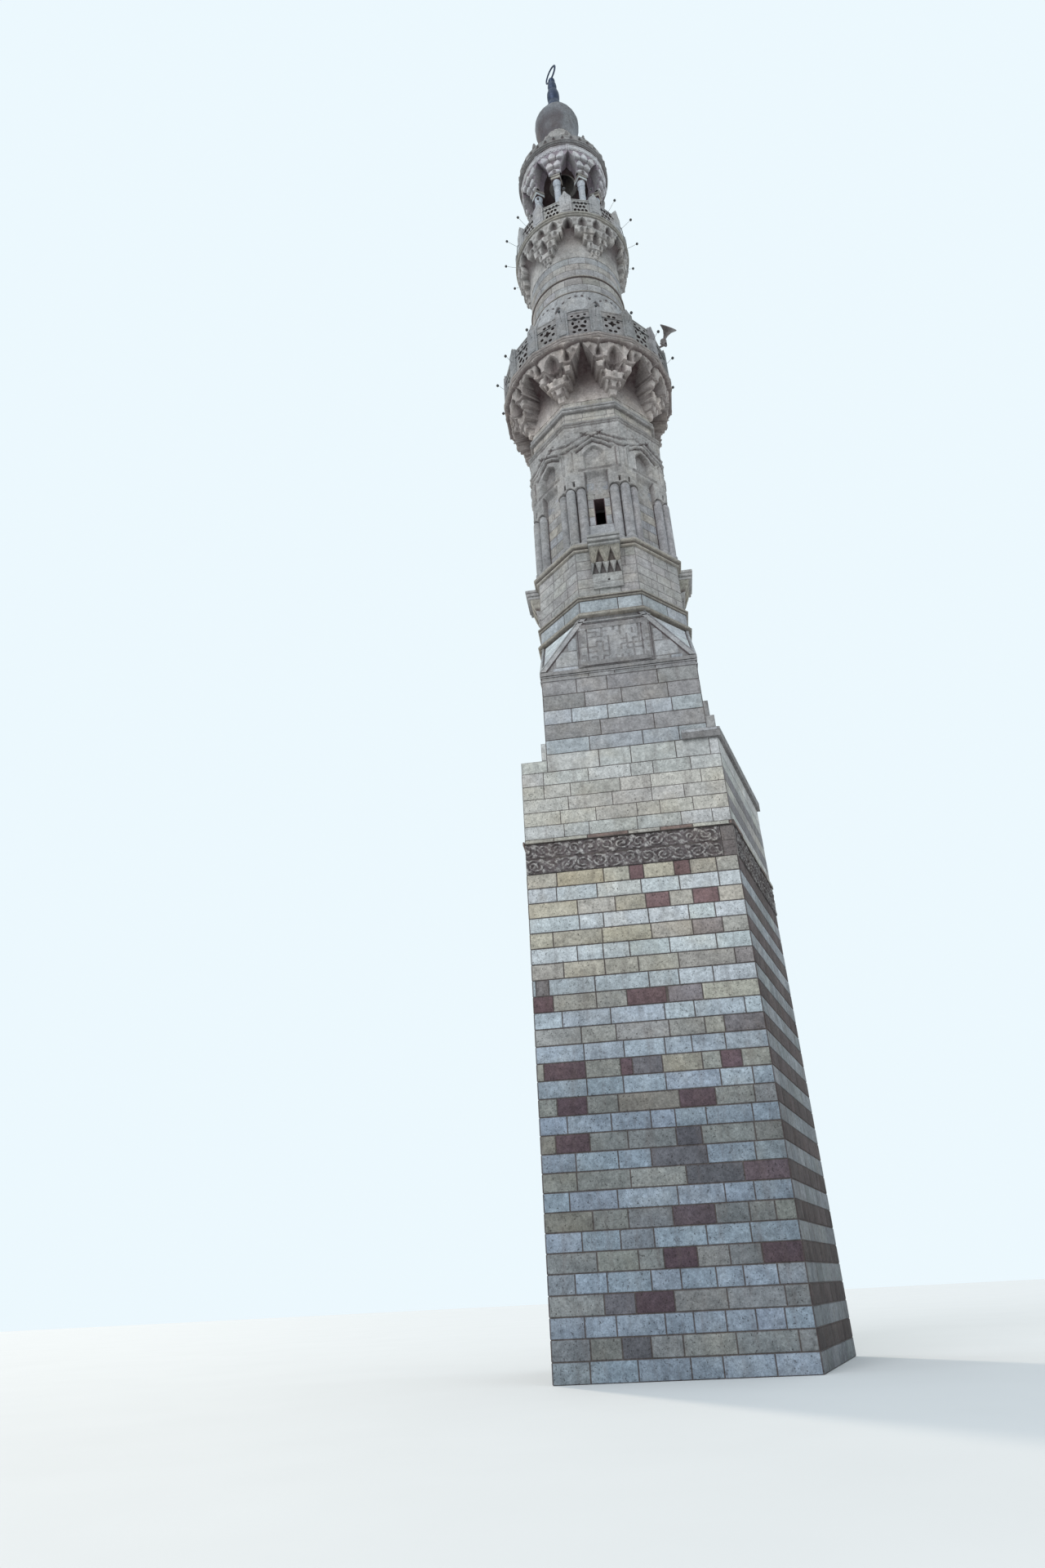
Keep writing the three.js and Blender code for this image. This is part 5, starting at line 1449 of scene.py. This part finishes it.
def leaf_holes(half, low, high):
    """Crossing arcs: crescents low down, paired leaves and small round holes above"""
    y0, tall = (low + high) / 2, (high - low) / 2

    def leaf(x, y, a, b, turn, steps, sharp=1.0):
        return oval(x * half, y0 + y * tall, a * half, b * tall, turn, steps, sharp)

    holes = [leaf(0, 0.18, 0.13, 0.10, 0, 8)]
    for side in (-1, 1):
        holes.append(leaf(side * 0.42, -0.30, 0.34, 0.15, -side * 0.55, 12, 0.8))
        holes.append(leaf(side * 0.44, 0.50, 0.32, 0.14, side * 0.6, 12, 0.8))
        holes.append(leaf(side * 0.70, 0.10, 0.16, 0.18, 0, 10))
        holes.append(leaf(side * 0.62, -0.78, 0.22, 0.12, side * 0.5, 10))
        holes.append(leaf(side * 0.72, 0.86, 0.18, 0.09, -side * 0.5, 10))
    holes.append(leaf(0, -0.66, 0.22, 0.14, 0, 10))
    holes.append(leaf(0, 0.80, 0.18, 0.11, 0, 10))
    return holes


def lozenge_holes(half, low, high):
    """Staggered rows of oval holes, every second one leaning like a leaf"""
    holes = []
    rows = 3
    for r in range(rows):
        count = 4 - r % 2
        for c in range(count):
            x = ((c + 0.5) - count / 2) * half * 0.52
            y = low + (r + 0.5) / rows * (high - low)
            lean = 0.3 if (r + c) % 2 else -0.3
            holes.append(oval(x, y, 0.046, 0.072, lean, 8, 1.1))
    return holes


def make_parapet(name, node, low, flat, tall, thick, post, point, holes, turn, dull, count):
    """Pierced panels between posts whose worn points rise over the rail"""
    shape = Shape()
    step = 360 / count
    half = half_side(flat, count)
    corner = flat / math.cos(math.pi / count)
    top = low + tall
    for index in range(count):
        place = flat_frame(step * index + turn)
        tint = tone(shade(blend(GREY, WARM_GREY, 0.2), 0.92, 1.08), dull)
        edge = half - post / 2 + 0.02
        outline = [(-edge, low), (edge, low), (edge, top), (-edge, top)]
        cut = holes[index % len(holes)](edge - 0.075, low + 0.075, top - 0.075)
        pierced(shape, place, outline, cut, flat - thick, flat - 0.012, tint)
        for a, b in ((low, low + 0.04), (top - 0.045, top)):
            box(shape, place, -edge, edge, a, b, flat - thick - 0.012, flat + 0.002, tint)
        post_place = flat_frame(step * (index + 0.5) + turn)
        stone_tint = tone(shade(blend(GREY, PALE, 0.12), 0.93, 1.10), dull)
        h = post / 2
        wear = [rng.uniform(-0.02, 0.015) for _ in range(3)]
        outline = [(-h, low), (h, low), (h, top + 0.055), (h * 0.72, top + point * 0.36),
                   (h * 0.36, top + point * 0.66), (0.022, top + point + wear[0]),
                   (-0.022, top + point + wear[1]), (-h * 0.38, top + point * 0.62 + wear[2]),
                   (-h * 0.72, top + point * 0.36), (-h, top + 0.055)]
        pierced(shape, post_place, outline, [], corner - thick - 0.02, corner + 0.004, stone_tint)
        inner = [(x * 0.62, low + 0.06 + (y - low) * 0.86) for x, y in outline]
        pierced(shape, post_place, inner, [], corner - 0.02, corner + 0.020, stone_tint)
    shape.piece(name, STONE, [node])


def make_frieze(shape, low):
    """Leaves, plain medallions and small arch heads, repeated round the drum"""
    circumference = TURN * DRUM_R
    theta = np.arange(640) / 640 * TURN - math.pi
    levels = np.linspace(low + 2.15, low + 2.895, 50)
    t, v = np.meshgrid(theta, levels - low)
    x = ((t / TURN * 8 + 0.5) % 1 - 0.5) * circumference / 8
    leaf = np.zeros_like(x)
    for centre, height, lean in ((0.17, 2.72, 0.5), (0.36, 2.60, 0.9), (0.0, 2.74, 0.0)):
        across = (np.abs(x) - centre) * math.cos(lean) - (v - height) * math.sin(lean)
        along = (np.abs(x) - centre) * math.sin(lean) + (v - height) * math.cos(lean)
        leaf = np.maximum(leaf, smooth(1 - (across / 0.055) ** 2 - (along / 0.032) ** 2, 0.0, 0.5))
    other = np.abs(np.abs(x) - circumference / 16)
    width = np.where(v < 2.34, 0.10, 0.10 * (1 - np.clip((v - 2.34) / 0.16, 0, 1) ** 1.6))
    head = smooth(width - other, -0.008, 0.008) * (v < 2.505)
    hood = np.clip(smooth(width + 0.045 - other, -0.008, 0.008) * (v < 2.57) - head, 0, 1)
    shield = smooth(0.28 - np.hypot(x * 0.9, (v - 2.40) * 1.1), -0.01, 0.01)
    out = DRUM_R + 0.026 - 0.018 * leaf - 0.022 * head + 0.018 * hood + 0.012 * shield
    out = out + 0.004 * ripple(t * 2, v, 0.06, 71)
    mark = smooth(ripple(t * 3, v, 0.07, 73), 0.75, 1.3) * (1 - shield) * (v > 2.45)
    # The sunk leaves and arch heads are dark with painted shade; the scattered marks are dirt
    soot_and_shade = np.clip(0.9 * leaf + 0.85 * head + 0.35 * mark, 0, 1)
    ring(shape, theta, levels, np.maximum(out, DRUM_R + 0.002), DRUM_R - 0.05,
         shaded(blend(GREY, PALE, 0.15), 1 + 0.10 * shield), soot_and_shade)


# Round drum: curved courses, two ring mouldings and a carved frieze under the lower one
def make_drum():
    shape = Shape()
    half = TURN * DRUM_R / 2
    place = round_frame(DRUM_R)
    low = DRUM_LOW
    door = math.radians(14) * DRUM_R
    # Foot, top, number of courses, how far they stop short of the back, and joint width
    zones = [(low, low + 1.85, 6, door, 0.007), (low + 1.85, low + 2.15, 1, 0.0, 0.005),
             (low + 2.985, low + 3.555, 2, 0.0, 0.005), (low + 3.645, CORBEL2_Z[0], 3, 0.0, 0.005)]
    for z0, z1, count, gap, joint in zones:
        levels = [z0 + (z1 - z0) * i / count for i in range(count + 1)]
        depth = 0.006 if gap else 0.005
        lay(shape, place, gap - half, half - gap, levels, DRUM_R, grey_colour, joint=joint, depth=depth,
            length=(0.35, 0.6), bend=9)
    profile = [(1.2, -0.044), (1.318, -0.044), (1.320, -0.028), (1.345, -0.018), (1.352, 0.004),
               (1.338, 0.020), (1.320, 0.028), (1.318, 0.044), (1.2, 0.044)]
    # Painted shade in the creases above and below each ring moulding
    soot_and_shade = [0, 1.0, 0.95, 0.2, 0, 0.1, 0.85, 0.8, 0]
    for z in (2.94, 3.60):
        lathe(shape, lifted(profile, low + z), 96, WARM_GREY, soot_and_shade, closed=True)
    make_frieze(shape, low)
    shape.piece("drum_carving", STONE)


def cells(x, v, half, low, high, count):
    """Pointed cells side by side over a widening row: 1 in the middle of each, 0 at its outline"""
    pitch = 2 * half / count
    across = np.abs(((x + half) / np.maximum(pitch, TINY)) % 1 - 0.5) * 2
    along = np.clip((v - low) / (high - low), 0, 1)
    wide = 1 - 1.04 * np.clip((along - 0.25) / 0.75, 0, 1) ** 1.5
    return np.clip(1.3 * np.minimum(wide - across + 0.04, along * 5 + 0.20), 0, 1)


# Open pavilion, turned a thirty-second of a full turn: marble columns on a plinth
def make_columns():
    shape = Shape()
    low, top = PLINTH_LOW, ARCADE_Z[0]
    base = 0.25
    plinth = [(0.785, 0), (1.10, 0), (1.10, 0.10), (1.085, 0.125), (1.055, 0.14), (1.06, 0.20), (1.08, 0.235),
              (1.07, base), (0.785, base)]
    moulding(shape, 8, lifted(plinth, low), blend(GREY, PALE, 0.2), 0.0, PAVILION_TURN)
    r = 0.098
    foot = [(0, base - 0.05), (r + 0.03, base - 0.05), (r + 0.032, base + 0.02), (r + 0.028, base + 0.045),
            (r + 0.012, base + 0.06), (r + 0.018, base + 0.085), (r + 0.012, base + 0.105), (r, base + 0.125),
            (r + 0.003, base + 0.9)]
    head = [(r - 0.004, -0.52), (r + 0.014, -0.51), (r + 0.016, -0.48), (r, -0.465), (r + 0.004, -0.39),
            (r + 0.022, -0.29), (r + 0.030, -0.245), (0, -0.235)]
    for index in range(8):
        turn = 45 * index + 22.5 + PAVILION_TURN
        a = math.radians(turn)
        centre = (COLUMN_RING * math.sin(a), -COLUMN_RING * math.cos(a))
        lathe(shape, foot + lifted(head, top - low), 24, MARBLE_PALE, 0.0, centre, low)
        place = flat_frame(turn)
        bell = blend(WARM_GREY, BUFF, 0.3) if index % 2 else PALE
        # Layers of the capital, from the column's top down: foot, top, half width, colour and soot; the two
        # narrow rings are painted shade in soot colour
        layers = [(-0.25, -0.205, 0.130, SOOT_AND_SHADE, 0.7), (-0.205, -0.11, 0.142, bell, 0.0),
                  (-0.11, -0.07, 0.132, SOOT_AND_SHADE, 0.7), (-0.07, 0.005, 0.145, WARM_GREY, 0.1)]
        for v0, v1, side, tint, soot_and_shade in layers:
            box(shape, place, -side, side, top + v0, top + v1, COLUMN_RING - side, COLUMN_RING + side,
                tint, soot_and_shade, 0.006)
    shape.piece("marble_columns", MARBLE_TINTED, ["pavilion_columns"])


def opening(z):
    """Half angle of the opening between two spandrels, in degrees"""
    return 12.3 * np.where(z < 0.17, 1.0, 1 - np.clip((z - 0.17) / 0.62, 0, 1) ** 1.5)


def spandrel_frame(degrees, low):
    """A frame over one column: along goes from -1 to 1 between the openings beside it"""
    def place(u, z, w):
        u, z, w = np.broadcast_arrays(np.asarray(u, float), z, w)
        angle = math.radians(degrees) + np.radians(u * (22.5 - opening(z - low)))
        return np.stack([w * np.sin(angle), -w * np.cos(angle), z], -1)

    return place


# Carved spandrels over the columns, between keel arches: rows of pointed cells that step out
def make_spandrels():
    shape = Shape()
    low, high = ARCADE_Z
    tall = high - low
    vs = np.linspace(0.0, tall, 88)
    ts = np.linspace(-1, 1, 65)
    t, v = np.meshgrid(ts, vs)
    half = np.radians(22.5 - opening(v)) * 1.22
    x = t * half
    slope = ([0.0, 0.12, 0.64, tall], [1.12, 1.14, 1.30, 1.35])
    out = np.interp(v, *slope)
    soot_and_shade = np.zeros_like(v)
    shades = np.ones_like(v)
    for a, b, count in ((0.0, 0.20, 1), (0.20, 0.48, 2), (0.48, 0.80, 3)):
        here = (v >= a) & (v < b)
        share = cells(x, v, half, a, b, count)
        groove = peak(share - 0.10, 0.08) + 0.9 * (share < 0.06)
        rib = peak(share - 0.55, 0.07)
        out = np.where(here, np.interp(b, *slope) - 0.045 * np.clip(groove, 0, 1) + 0.020 * share, out)
        # Soot and painted shade in the grooves; the cells' faces are lighter with painted light
        soot_and_shade = np.where(here, np.clip(0.72 * groove + 0.25 * rib, 0, 1), soot_and_shade)
        shades = np.where(here, 1 + 0.12 * (share > 0.2) * (0.5 if count == 2 else 1.0), shades)
    out, soot_and_shade = carve(out, soot_and_shade, arch(x, v, 0.075, 0.0, 0.06, 0.135), 0.04, 0.8)
    # Stepped line of painted shadow under the plain band
    step = 0.815 + 0.035 * (np.floor((x + 10) / 0.055) % 2)
    outline = peak(v - step, 0.012)
    out = out - 0.015 * outline
    soot_and_shade = np.maximum(soot_and_shade, 0.85 * outline)
    # Raised lip along the openings, lighter with painted highlight, and painted shade on the soffits beyond
    # it
    lip = smooth(np.abs(t), 0.88, 0.95)
    out = out + 0.014 * lip
    shades = shades * (1 + 0.1 * lip)
    soot_and_shade = np.where(np.abs(t) > 0.985, 0.5, soot_and_shade * (1 - 0.7 * lip))
    soot_and_shade = np.clip(np.maximum(soot_and_shade, 0.6 * peak(v - 0.985, 0.012)), 0, 1)
    for index in range(8):
        place = spandrel_frame(45 * index + 22.5 + PAVILION_TURN, low)
        noise = 0.005 * ripple(t + 3 * index, v, 0.1, 80 + index)
        tint = shaded(shade(blend(GREY, COOL_GREY, 0.2), 1.32, 1.52), shades)
        # The back and sides, the soffits of the arches, are dark with painted shade
        relief(shape, place, ts, vs + low, out + noise, 1.02, tint, soot_and_shade, 0.7)
    shape.piece("spandrel_carving", STONE)


# Cornice ring, its carved crest wall and the broken row of pointed stubs on it
CREST = [0.50, 0.44, 0.0, 0.52, 0.33, 0.50, 0.0, 0.47, 0.52, 0.0, 0.38, 0.50, 0.45, 0.0, 0.52, 0.30]


def make_cornice():
    shape = Shape()
    z = CORNICE_LOW
    colour = blend(GREY, WARM_GREY, 0.25)
    profile = [(0.45, 0), (1.365, 0), (1.38, 0.012), (1.38, 0.035), (1.358, 0.045), (1.360, 0.058),
               (1.395, 0.068), (1.415, 0.085), (1.415, 0.105), (1.395, 0.115), (1.40, 0.125), (1.43, 0.14),
               (1.43, 0.17), (0.45, 0.17)]
    # Painted shade under the cornice and its lips, and in its creases
    soot_and_shade = [1.0, 0.9, 0, 0, 0.85, 0.85, 0.1, 0, 0, 0.7, 0.6, 0, 0, 0]
    lathe(shape, lifted(profile, z), 96, tone(blend(GREY, colour, 0.4), 0.69), soot_and_shade, closed=True)
    # Crest wall with a row of small niches, dark with painted shade
    theta = np.arange(384) / 384 * TURN - math.pi
    levels = np.linspace(z + 0.165, z + 0.42, 18)
    t, v = np.meshgrid(theta, levels - z - 0.17)
    x = (np.degrees(t) % 11.25 - 5.625) * 0.0236
    niche = arch(x, v, 0.052, 0.02, 0.11, 0.21)
    out = 1.412 - 0.035 * niche + 0.012 * ripple(t * 2, v, 0.08, 101)
    shades = shaded(tone(colour, 0.73), 1 + 0.12 * ripple(t * 2, v, 0.15, 103))
    ring(shape, theta, levels, out, 1.30, shades, np.clip(0.8 * niche, 0, 1))
    for index in range(48):
        height = rng.uniform(0.0, 0.055)
        box(shape, flat_frame(7.5 * index), -0.088, 0.088, z + 0.41, z + 0.425 + height, 1.305, 1.405,
            shade(colour, 0.56, 0.8), 0.1, 0.012)
    # Pointed stubs, every third one broken off flat
    base = z + 0.17
    w = 0.062
    for index, tall in enumerate(CREST):
        if not tall:
            continue
        place = flat_frame(22.5 * index + 11.25)
        top = tall + rng.uniform(-0.01, 0.01)
        outline = [(-w, 0.0), (w, 0.0), (w * rng.uniform(0.9, 1.1), top * 0.5), (w * 1.2, top * 0.66),
                   (w * 0.75, top * 0.84), (0.012, top), (-0.014, top - 0.01), (-w * 0.7, top * 0.85),
                   (-w * 1.15, top * 0.64), (-w * rng.uniform(0.85, 1.05), top * 0.45)]
        if index % 3 == 1:
            outline = outline[:4] + [(w * 0.4, top), (-w * 0.5, top * 0.93)] + outline[8:]
        tint = shade(colour, 0.58, 0.78)
        pierced(shape, place, lifted(outline, base), [], 1.315, 1.40, tint)
        inner = [(x * 0.55, base + 0.26 + y * 0.42) for x, y in outline]
        pierced(shape, place, inner, [], 1.38, 1.416, tint, 0.2)
    shape.piece("cornice_ring", STONE, ["pavilion_cornice"])


# Neck, bulb, finial and crescent
def make_neck():
    shape = Shape()
    neck = [(1.0, 0), (1.0, 0.32), (0.89, 0.42), (0.77, 0.90), (0.65, 1.45), (0.57, 1.95), (0.55, 2.25)]
    vs = np.linspace(0, neck[-1][1], 80)
    r = np.interp(vs, [p[1] for p in neck], [p[0] for p in neck])
    theta = np.arange(96) / 96 * TURN - math.pi
    t, v = np.meshgrid(theta, vs)
    rough = 0.020 * ripple(t * 0.6, v, 0.10, 91) + 0.012 * ripple(t * 0.6, v, 0.03, 92)
    radii = r[:, None] + rough * smooth(v, 0.35, 0.6) - 0.010 * peak(v % 0.285 - 0.14, 0.012)
    soot_and_shade = 0.35 * smooth(ripple(t, v, 0.3, 93), 0.0, 1.0)
    ring(shape, theta, vs + NECK_LOW, radii, 0.35, blend(GREY, WARM_GREY, 0.5), soot_and_shade)
    shape.piece("rough_neck", STONE, ["bulb_neck"])


def make_bulb():
    shape = Shape()
    radius, middle, top = 0.736, 1.10, 71.4
    foot = [(0.0, 0.53), (0.35, 0.60), (0.65, 0.665), (0.90, 0.72)]
    rise = np.radians(np.linspace(0, top, 24))
    heights = [p[0] for p in foot] + list(middle + radius * np.sin(rise))
    radii = [p[1] for p in foot] + list(radius * np.cos(rise))
    dome = middle + radius * np.sin(np.radians(np.linspace(0, top, 48)))
    vs = np.concatenate([np.linspace(0, 1.05, 42), dome])
    r = np.interp(vs, heights, radii)
    theta = np.arange(128) / 128 * TURN - math.pi
    t, v = np.meshgrid(theta, vs)
    out = r[:, None] + 0.009 * ripple(t * 0.7, v, 0.15, 95) + 0.004 * ripple(t * 0.7, v, 0.05, 96)
    out = np.maximum(out - 0.005 * peak(v % 0.245 - 0.12, 0.010), 0.1)
    stain = smooth(np.cos(t + 0.75) + 0.45 * ripple(t, v, 0.3, 97), 0.30, 1.0) * smooth(1.15 - v, 0.0, 0.6)
    shades = shaded(blend(GREY, COOL_GREY, 0.9), 0.64 + 0.08 * ripple(t, v, 0.3, 98))
    ring(shape, theta, vs + BULB_LOW, out, 0.05, shades, np.clip(0.6 * stain + 0.10, 0, 1))
    shape.piece("stone_bulb", STONE, ["bulb_dome"])


def make_finial():
    shape = Shape()
    finial = [(0, 0.0), (0.20, 0.0), (0.21, 0.04), (0.225, 0.07), (0.25, 0.12), (0.262, 0.20),
              (0.266, 0.36), (0.262, 0.52), (0.245, 0.64), (0.215, 0.76), (0.185, 0.86), (0.168, 0.90),
              (0.172, 0.95), (0.190, 1.02), (0.208, 1.12), (0.213, 1.26), (0.207, 1.42), (0.185, 1.53),
              (0.145, 1.61), (0.128, 1.66), (0.138, 1.72), (0.152, 1.80), (0.156, 1.92), (0.145, 2.04),
              (0.115, 2.13), (0.088, 2.19), (0.10, 2.24), (0.120, 2.29), (0.112, 2.35), (0.075, 2.39),
              (0.06, 2.40), (0, 2.40)]
    lathe(shape, finial, 32, BRONZE_DARK, lift=FINIAL_LOW)
    shape.piece("bronze_finial", BRONZE, ["finial"])


def make_crescent():
    """A ring whose hole is a little off its middle, so that it is thinnest at one upper side"""
    shape = Shape()
    c, s = math.cos(math.radians(-52)), math.sin(math.radians(-52))
    centre = CRESCENT_LOW + 0.36
    rings, sides = 64, 12
    points = []
    for i in range(rings):
        a = TURN * i / rings
        outer = np.array([0.32 * math.sin(a), 0.32 * math.cos(a)])
        inner = np.array([-0.018 + 0.245 * math.sin(a), 0.018 + 0.245 * math.cos(a)])
        middle, reach = (outer + inner) / 2, (outer - inner) / 2
        for j in range(sides):
            b = TURN * j / sides
            x, z = middle + reach * math.cos(b)
            y = 0.028 * math.sin(b)
            points.append((x * c - y * s, x * s + y * c, z + centre))
    shape.add(np.array(points), torus_quads(rings, sides), BRONZE_DARK)
    foot = [(0, 0.0), (0.040, 0.0), (0.042, 0.02), (0.032, 0.045), (0.030, 0.078), (0, 0.08)]
    lathe(shape, foot, 14, BRONZE_DARK, lift=CRESCENT_LOW)
    shape.piece("bronze_crescent", BRONZE, ["crescent"])


def make_lamps(name, node, low, flat, reach, turn):
    """Lamps on curved arms that a wire hoop joins"""
    shape = Shape()
    k = math.cos(math.pi / 16)
    post = flat / k + 0.010
    hoop = [((post - 0.004) * k, 0.001), ((post + 0.012) * k, 0.0), ((post + 0.016) * k, 0.008),
            ((post + 0.008) * k, 0.015)]
    moulding(shape, 16, lifted(hoop, low), LAMP_DARK, 0.0, turn + 11.25)
    bulb = [(0, -0.040), (0.017, -0.036), (0.032, -0.023), (0.039, -0.003), (0.035, 0.015), (0.023, 0.027),
            (0.015, 0.03), (0.015, 0.048), (0, 0.050)]
    thick, steps = 0.006, 6
    for index in range(16):
        place = flat_frame(22.5 * index + turn)
        for i in range(steps):
            ends = []
            for share in (i / steps, (i + 1) / steps):
                w = post + (reach - 0.04 - post) * share
                ends.append((low + 0.005 + 0.13 * share ** 1.3, w if ends else w - 0.01))
            points = [place(u, v + up, w) for v, w in ends
                      for u, up in ((-thick / 2, 0), (thick / 2, 0), (thick / 2, thick), (-thick / 2, thick))]
            shape.add(np.array(points), [[3, 2, 1, 0], [4, 5, 6, 7]] + quads(2, 4, True).tolist(), LAMP_DARK)
        x, y, _ = place(0.0, 0.0, reach)
        lathe(shape, bulb, 14, LAMP_DARK, 0.0, (x, y), low + 0.156)
    shape.piece(name, LAMP, [node])


def plain_nodes():
    """Materials for the walls that stay as the backing of the dressed stones, and for the horn"""
    backing = ("left_shoulder", "right_shoulder", "street_parapet", "corner_cornice", "shaft_band",
               "transition", "upper_octagon", "lower_octagon", "round_shaft",
               "drum_wall_left", "drum_wall_front", "drum_wall_right")
    looks = dict.fromkeys(backing, BACKING)
    looks.update({"horn_bracket": HORN, "horn_loudspeaker": HORN, "pavilion_arcade": ARCADE_INSIDE_PAINTED_SHADE})
    for name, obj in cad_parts.items():
        if not obj.hide_render:
            obj.data.materials.clear()
            obj.data.materials.append(looks.get(name, MORTAR_LOOK))


make_pier()
make_band()
make_string()
make_shaft()
make_shoulders()
make_transition()
make_octagons()
make_pale_course()
make_ledge()
make_balconettes()
make_ribs()
make_arcade()
make_lower_muqarnas()
make_upper_muqarnas()
make_rims()
make_parapet("lower_parapet", "balcony1_parapet", RIM1_Z[1], flat=2.18, tall=0.90, thick=0.12, post=0.30,
             point=0.23, holes=[leaf_holes, flower_holes], turn=0.0, dull=0.78, count=16)
make_parapet("upper_parapet", "balcony2_parapet", RIM2_Z[1], flat=1.61, tall=0.66, thick=0.10, post=0.34,
             point=0.33, holes=[lozenge_holes], turn=15.0, dull=1.04, count=12)
make_drum()
make_columns()
make_spandrels()
make_cornice()
make_neck()
make_bulb()
make_finial()
make_crescent()
make_lamps("lower_lamps", "lamps_lower", RIM1_Z[1] + 0.594, flat=2.18, reach=2.42, turn=11.25)
make_lamps("upper_lamps", "lamps_upper", RIM2_Z[1] + 0.394, flat=1.635, reach=2.00, turn=0.0)
plain_nodes()


# Floor, light and camera
def make_floor():
    mesh = bpy.data.meshes.new("floor")
    far, drop = 150.0, -0.002
    corners = ((-far, -far), (far, -far), (far, far), (-far, far))
    mesh.from_pydata([(x, y, drop) for x, y in corners], [], [(0, 1, 2, 3)])
    floor = bpy.data.objects.new("floor", mesh)
    bpy.context.scene.collection.objects.link(floor)
    look = Look("floor_look", 0.9)
    share = look.scale(look.noise(2.5, 4.0), 0.3, 0.7, 0.0, 0.3)
    look.base_colour(look.mix(share, rgba(FLOOR_LIGHT), rgba(FLOOR_DARK)))
    mesh.materials.append(look.material)


def make_sun(name, energy, degrees, colour, rotation):
    data = bpy.data.lights.new(name, "SUN")
    data.energy = energy
    data.angle = math.radians(degrees)
    data.color = colour
    sun = bpy.data.objects.new(name, data)
    sun.rotation_euler = rotation
    bpy.context.scene.collection.objects.link(sun)


def make_stage():
    make_floor()
    world = bpy.data.worlds.new("sky")
    bpy.context.scene.world = world
    world.use_nodes = True
    background = world.node_tree.nodes["Background"]
    background.inputs["Color"].default_value = rgba(SKY)
    background.inputs["Strength"].default_value = 1.0
    bpy.context.scene.view_settings.view_transform = "Standard"
    make_sun("key", 1.1, 28, SKY_LIGHT, (math.radians(52), 0.0, math.radians(-24)))
    make_sun("rim", 1.6, 6, LOW_SUN, Vector((0.50, -0.75, -0.42)).to_track_quat("-Z", "Y").to_euler())


def make_camera():
    """The camera of the photograph: low, near the pier and looking up"""
    yaw, pitch, roll = math.radians(7.12), math.radians(28.3), math.radians(-2.95)
    eye = Vector((-0.065, -18.0, 1.174))
    forward = Vector((-math.sin(yaw) * math.cos(pitch), math.cos(yaw) * math.cos(pitch), math.sin(pitch)))
    right = Vector((math.cos(yaw), math.sin(yaw), 0.0))
    up = right.cross(forward)
    side = right * math.cos(roll) + up * math.sin(roll)
    top = up * math.cos(roll) - right * math.sin(roll)
    data = bpy.data.cameras.new("camera")
    data.sensor_width = 36.0
    data.lens = 21.84
    data.clip_end = 500.0
    camera = bpy.data.objects.new("camera", data)
    camera.matrix_world = Matrix([(side[i], top[i], -forward[i], eye[i]) for i in range(3)] + [(0, 0, 0, 1)])
    bpy.context.scene.collection.objects.link(camera)
    bpy.context.scene.camera = camera


make_stage()
make_camera()
